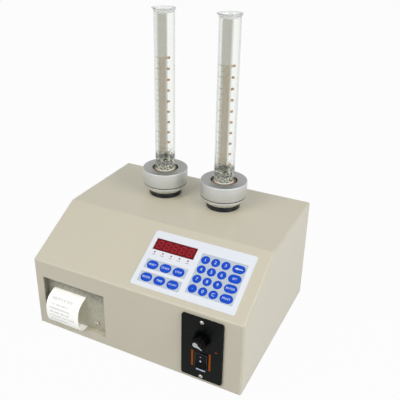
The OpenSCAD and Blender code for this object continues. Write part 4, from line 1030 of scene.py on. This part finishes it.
class TESTER_OT_mains(bpy.types.Operator):
    """Finish the mains inlet, its rocker and the power supply"""

    bl_idname = "tester.mains"
    bl_label = "Mains connection"

    def execute(self, context):
        dress(moulded_abs, "power_inlet", "power_rocker")
        dress(circuit_board, "power_supply")
        soften(0.3 * MM, "power_inlet", "power_rocker")
        return {"FINISHED"}


LAMP_TARGET = Vector((0, 0, 0.1))
LAMPS = (
    # Name, place, width, watts
    ("key_lamp", (-0.7, -1.6, 1.7), 1.4, 21),
    ("side_lamp", (1.9, -0.5, 1.1), 1.2, 21),
    ("top_lamp", (0.1, 0.5, 2.0), 1.6, 3),
    ("front_lamp", (0.5, -1.1, 1.1), 0.3, 0.8),
)
FLOOR_WIDE = 12
FLOOR_WHITE = 0.965  # share of plain white in the floor that the camera sees
SKY_LIGHT, CEILING_LIGHT = 0.51, 0.55  # sky on the object, and its share from straight above
CAMERA_AT = (0.3601, -0.6726, 0.5878)
CAMERA_TURN = [math.radians(a) for a in (90 - 25.517, -0.171, 27.643)]


class TESTER_OT_stage(bpy.types.Operator):
    """Make the floor, the lamps, the sky and the camera"""

    bl_idname = "tester.stage"
    bl_label = "Stage"

    def execute(self, context):
        scene = context.scene
        scene.view_settings.view_transform = "Standard"
        mesh = bpy.data.meshes.new("floor")
        square = bar(0, 0, FLOOR_WIDE, FLOOR_WIDE)
        mesh.from_pydata([(x, y, 0) for x, y in square], [], [(0, 1, 2, 3)])
        floor = bpy.data.objects.new("floor", mesh)
        scene.collection.objects.link(floor)
        made = blank("pale_floor")
        tree = made.node_tree
        matt = node(tree, "BsdfPrincipled", {"Base Color": linear("B4B4B4"), "Roughness": 0.9})
        share = node(tree, "Math", {
            0: self.seen_directly(tree), 1: FLOOR_WHITE}, operation="MULTIPLY")
        white = node(tree, "Emission", {"Color": linear("FFFFFF"), "Strength": 1.0})
        mixed = node(tree, "MixShader", {0: share, 1: matt, 2: white})
        node(tree, "OutputMaterial", {"Surface": mixed})
        mesh.materials.append(made)
        scene.world = bpy.data.worlds.new("studio")
        scene.world.use_nodes = True
        tree = scene.world.node_tree
        tree.nodes.clear()
        level = node(tree, "MapRange", {
            "Value": self.seen_directly(tree), "To Min": SKY_LIGHT, "To Max": 1.0})
        upward = node(tree, "SeparateXYZ", {
            "Vector": node(tree, "TexCoord").outputs["Generated"]}).outputs["Z"]
        ceiling = node(tree, "MapRange", {
            "Value": upward, "From Min": 0.2, "From Max": 0.8, "To Min": 1.0,
            "To Max": CEILING_LIGHT})
        strength = node(tree, "Math", {0: level, 1: ceiling}, operation="MULTIPLY")
        sky = node(tree, "Background", {"Color": linear("FFFFFF"), "Strength": strength})
        node(tree, "OutputWorld", {"Surface": sky})
        for name, place, width, watts in LAMPS:
            light = bpy.data.lights.new(name, "AREA")
            light.size, light.energy = width, watts
            lamp = bpy.data.objects.new(name, light)
            lamp.location = place
            aim = LAMP_TARGET - Vector(place)
            lamp.rotation_euler = aim.to_track_quat("-Z", "Y").to_euler()
            scene.collection.objects.link(lamp)
        view = bpy.data.cameras.new("camera")
        view.lens, view.sensor_width = 52.39, 36
        view.shift_x, view.shift_y = 0.0534, -0.036
        scene.camera = bpy.data.objects.new("camera", view)
        scene.camera.location = CAMERA_AT
        scene.camera.rotation_euler = CAMERA_TURN
        scene.collection.objects.link(scene.camera)
        return {"FINISHED"}

    @staticmethod
    def seen_directly(tree):
        """1 for what the camera sees, also in a mirror or through glass, else 0."""
        path = node(tree, "LightPath").outputs
        seen = path["Is Camera Ray"]
        for kind in ("Is Glossy Ray", "Is Transmission Ray"):
            seen = node(tree, "Math", {0: seen, 1: path[kind]}, operation="MAXIMUM")
        return seen


OPERATORS = (
    TESTER_OT_sheet_metal, TESTER_OT_keypad, TESTER_OT_display, TESTER_OT_printer,
    TESTER_OT_speed_control, TESTER_OT_holders, TESTER_OT_glassware, TESTER_OT_drive,
    TESTER_OT_mains, TESTER_OT_stage)


class TESTER_PT_panel(bpy.types.Panel):
    """Sizes, colours and steps of the tester"""

    bl_idname = "TESTER_PT_panel"
    bl_label = "Tap density tester"
    bl_space_type = "VIEW_3D"
    bl_region_type = "UI"
    bl_category = "Tester"

    def draw(self, context):
        for group in (context.scene.tester_colours, context.scene.tester_sizes):
            for name in group.__annotations__:
                self.layout.prop(group, name)
        for step in OPERATORS:
            self.layout.operator(step.bl_idname)


CLASSES = (TesterColours, TesterSizes, *OPERATORS, TESTER_PT_panel)


def register():
    for cls in CLASSES:
        bpy.utils.register_class(cls)
    bpy.types.Scene.tester_colours = bpy.props.PointerProperty(type=TesterColours)
    bpy.types.Scene.tester_sizes = bpy.props.PointerProperty(type=TesterSizes)


def unregister():
    del bpy.types.Scene.tester_sizes
    del bpy.types.Scene.tester_colours
    for cls in reversed(CLASSES):
        bpy.utils.unregister_class(cls)


def main():
    register()
    for step in OPERATORS:
        group, name = step.bl_idname.split(".")
        getattr(getattr(bpy.ops, group), name)()


if __name__ == "__main__":
    main()
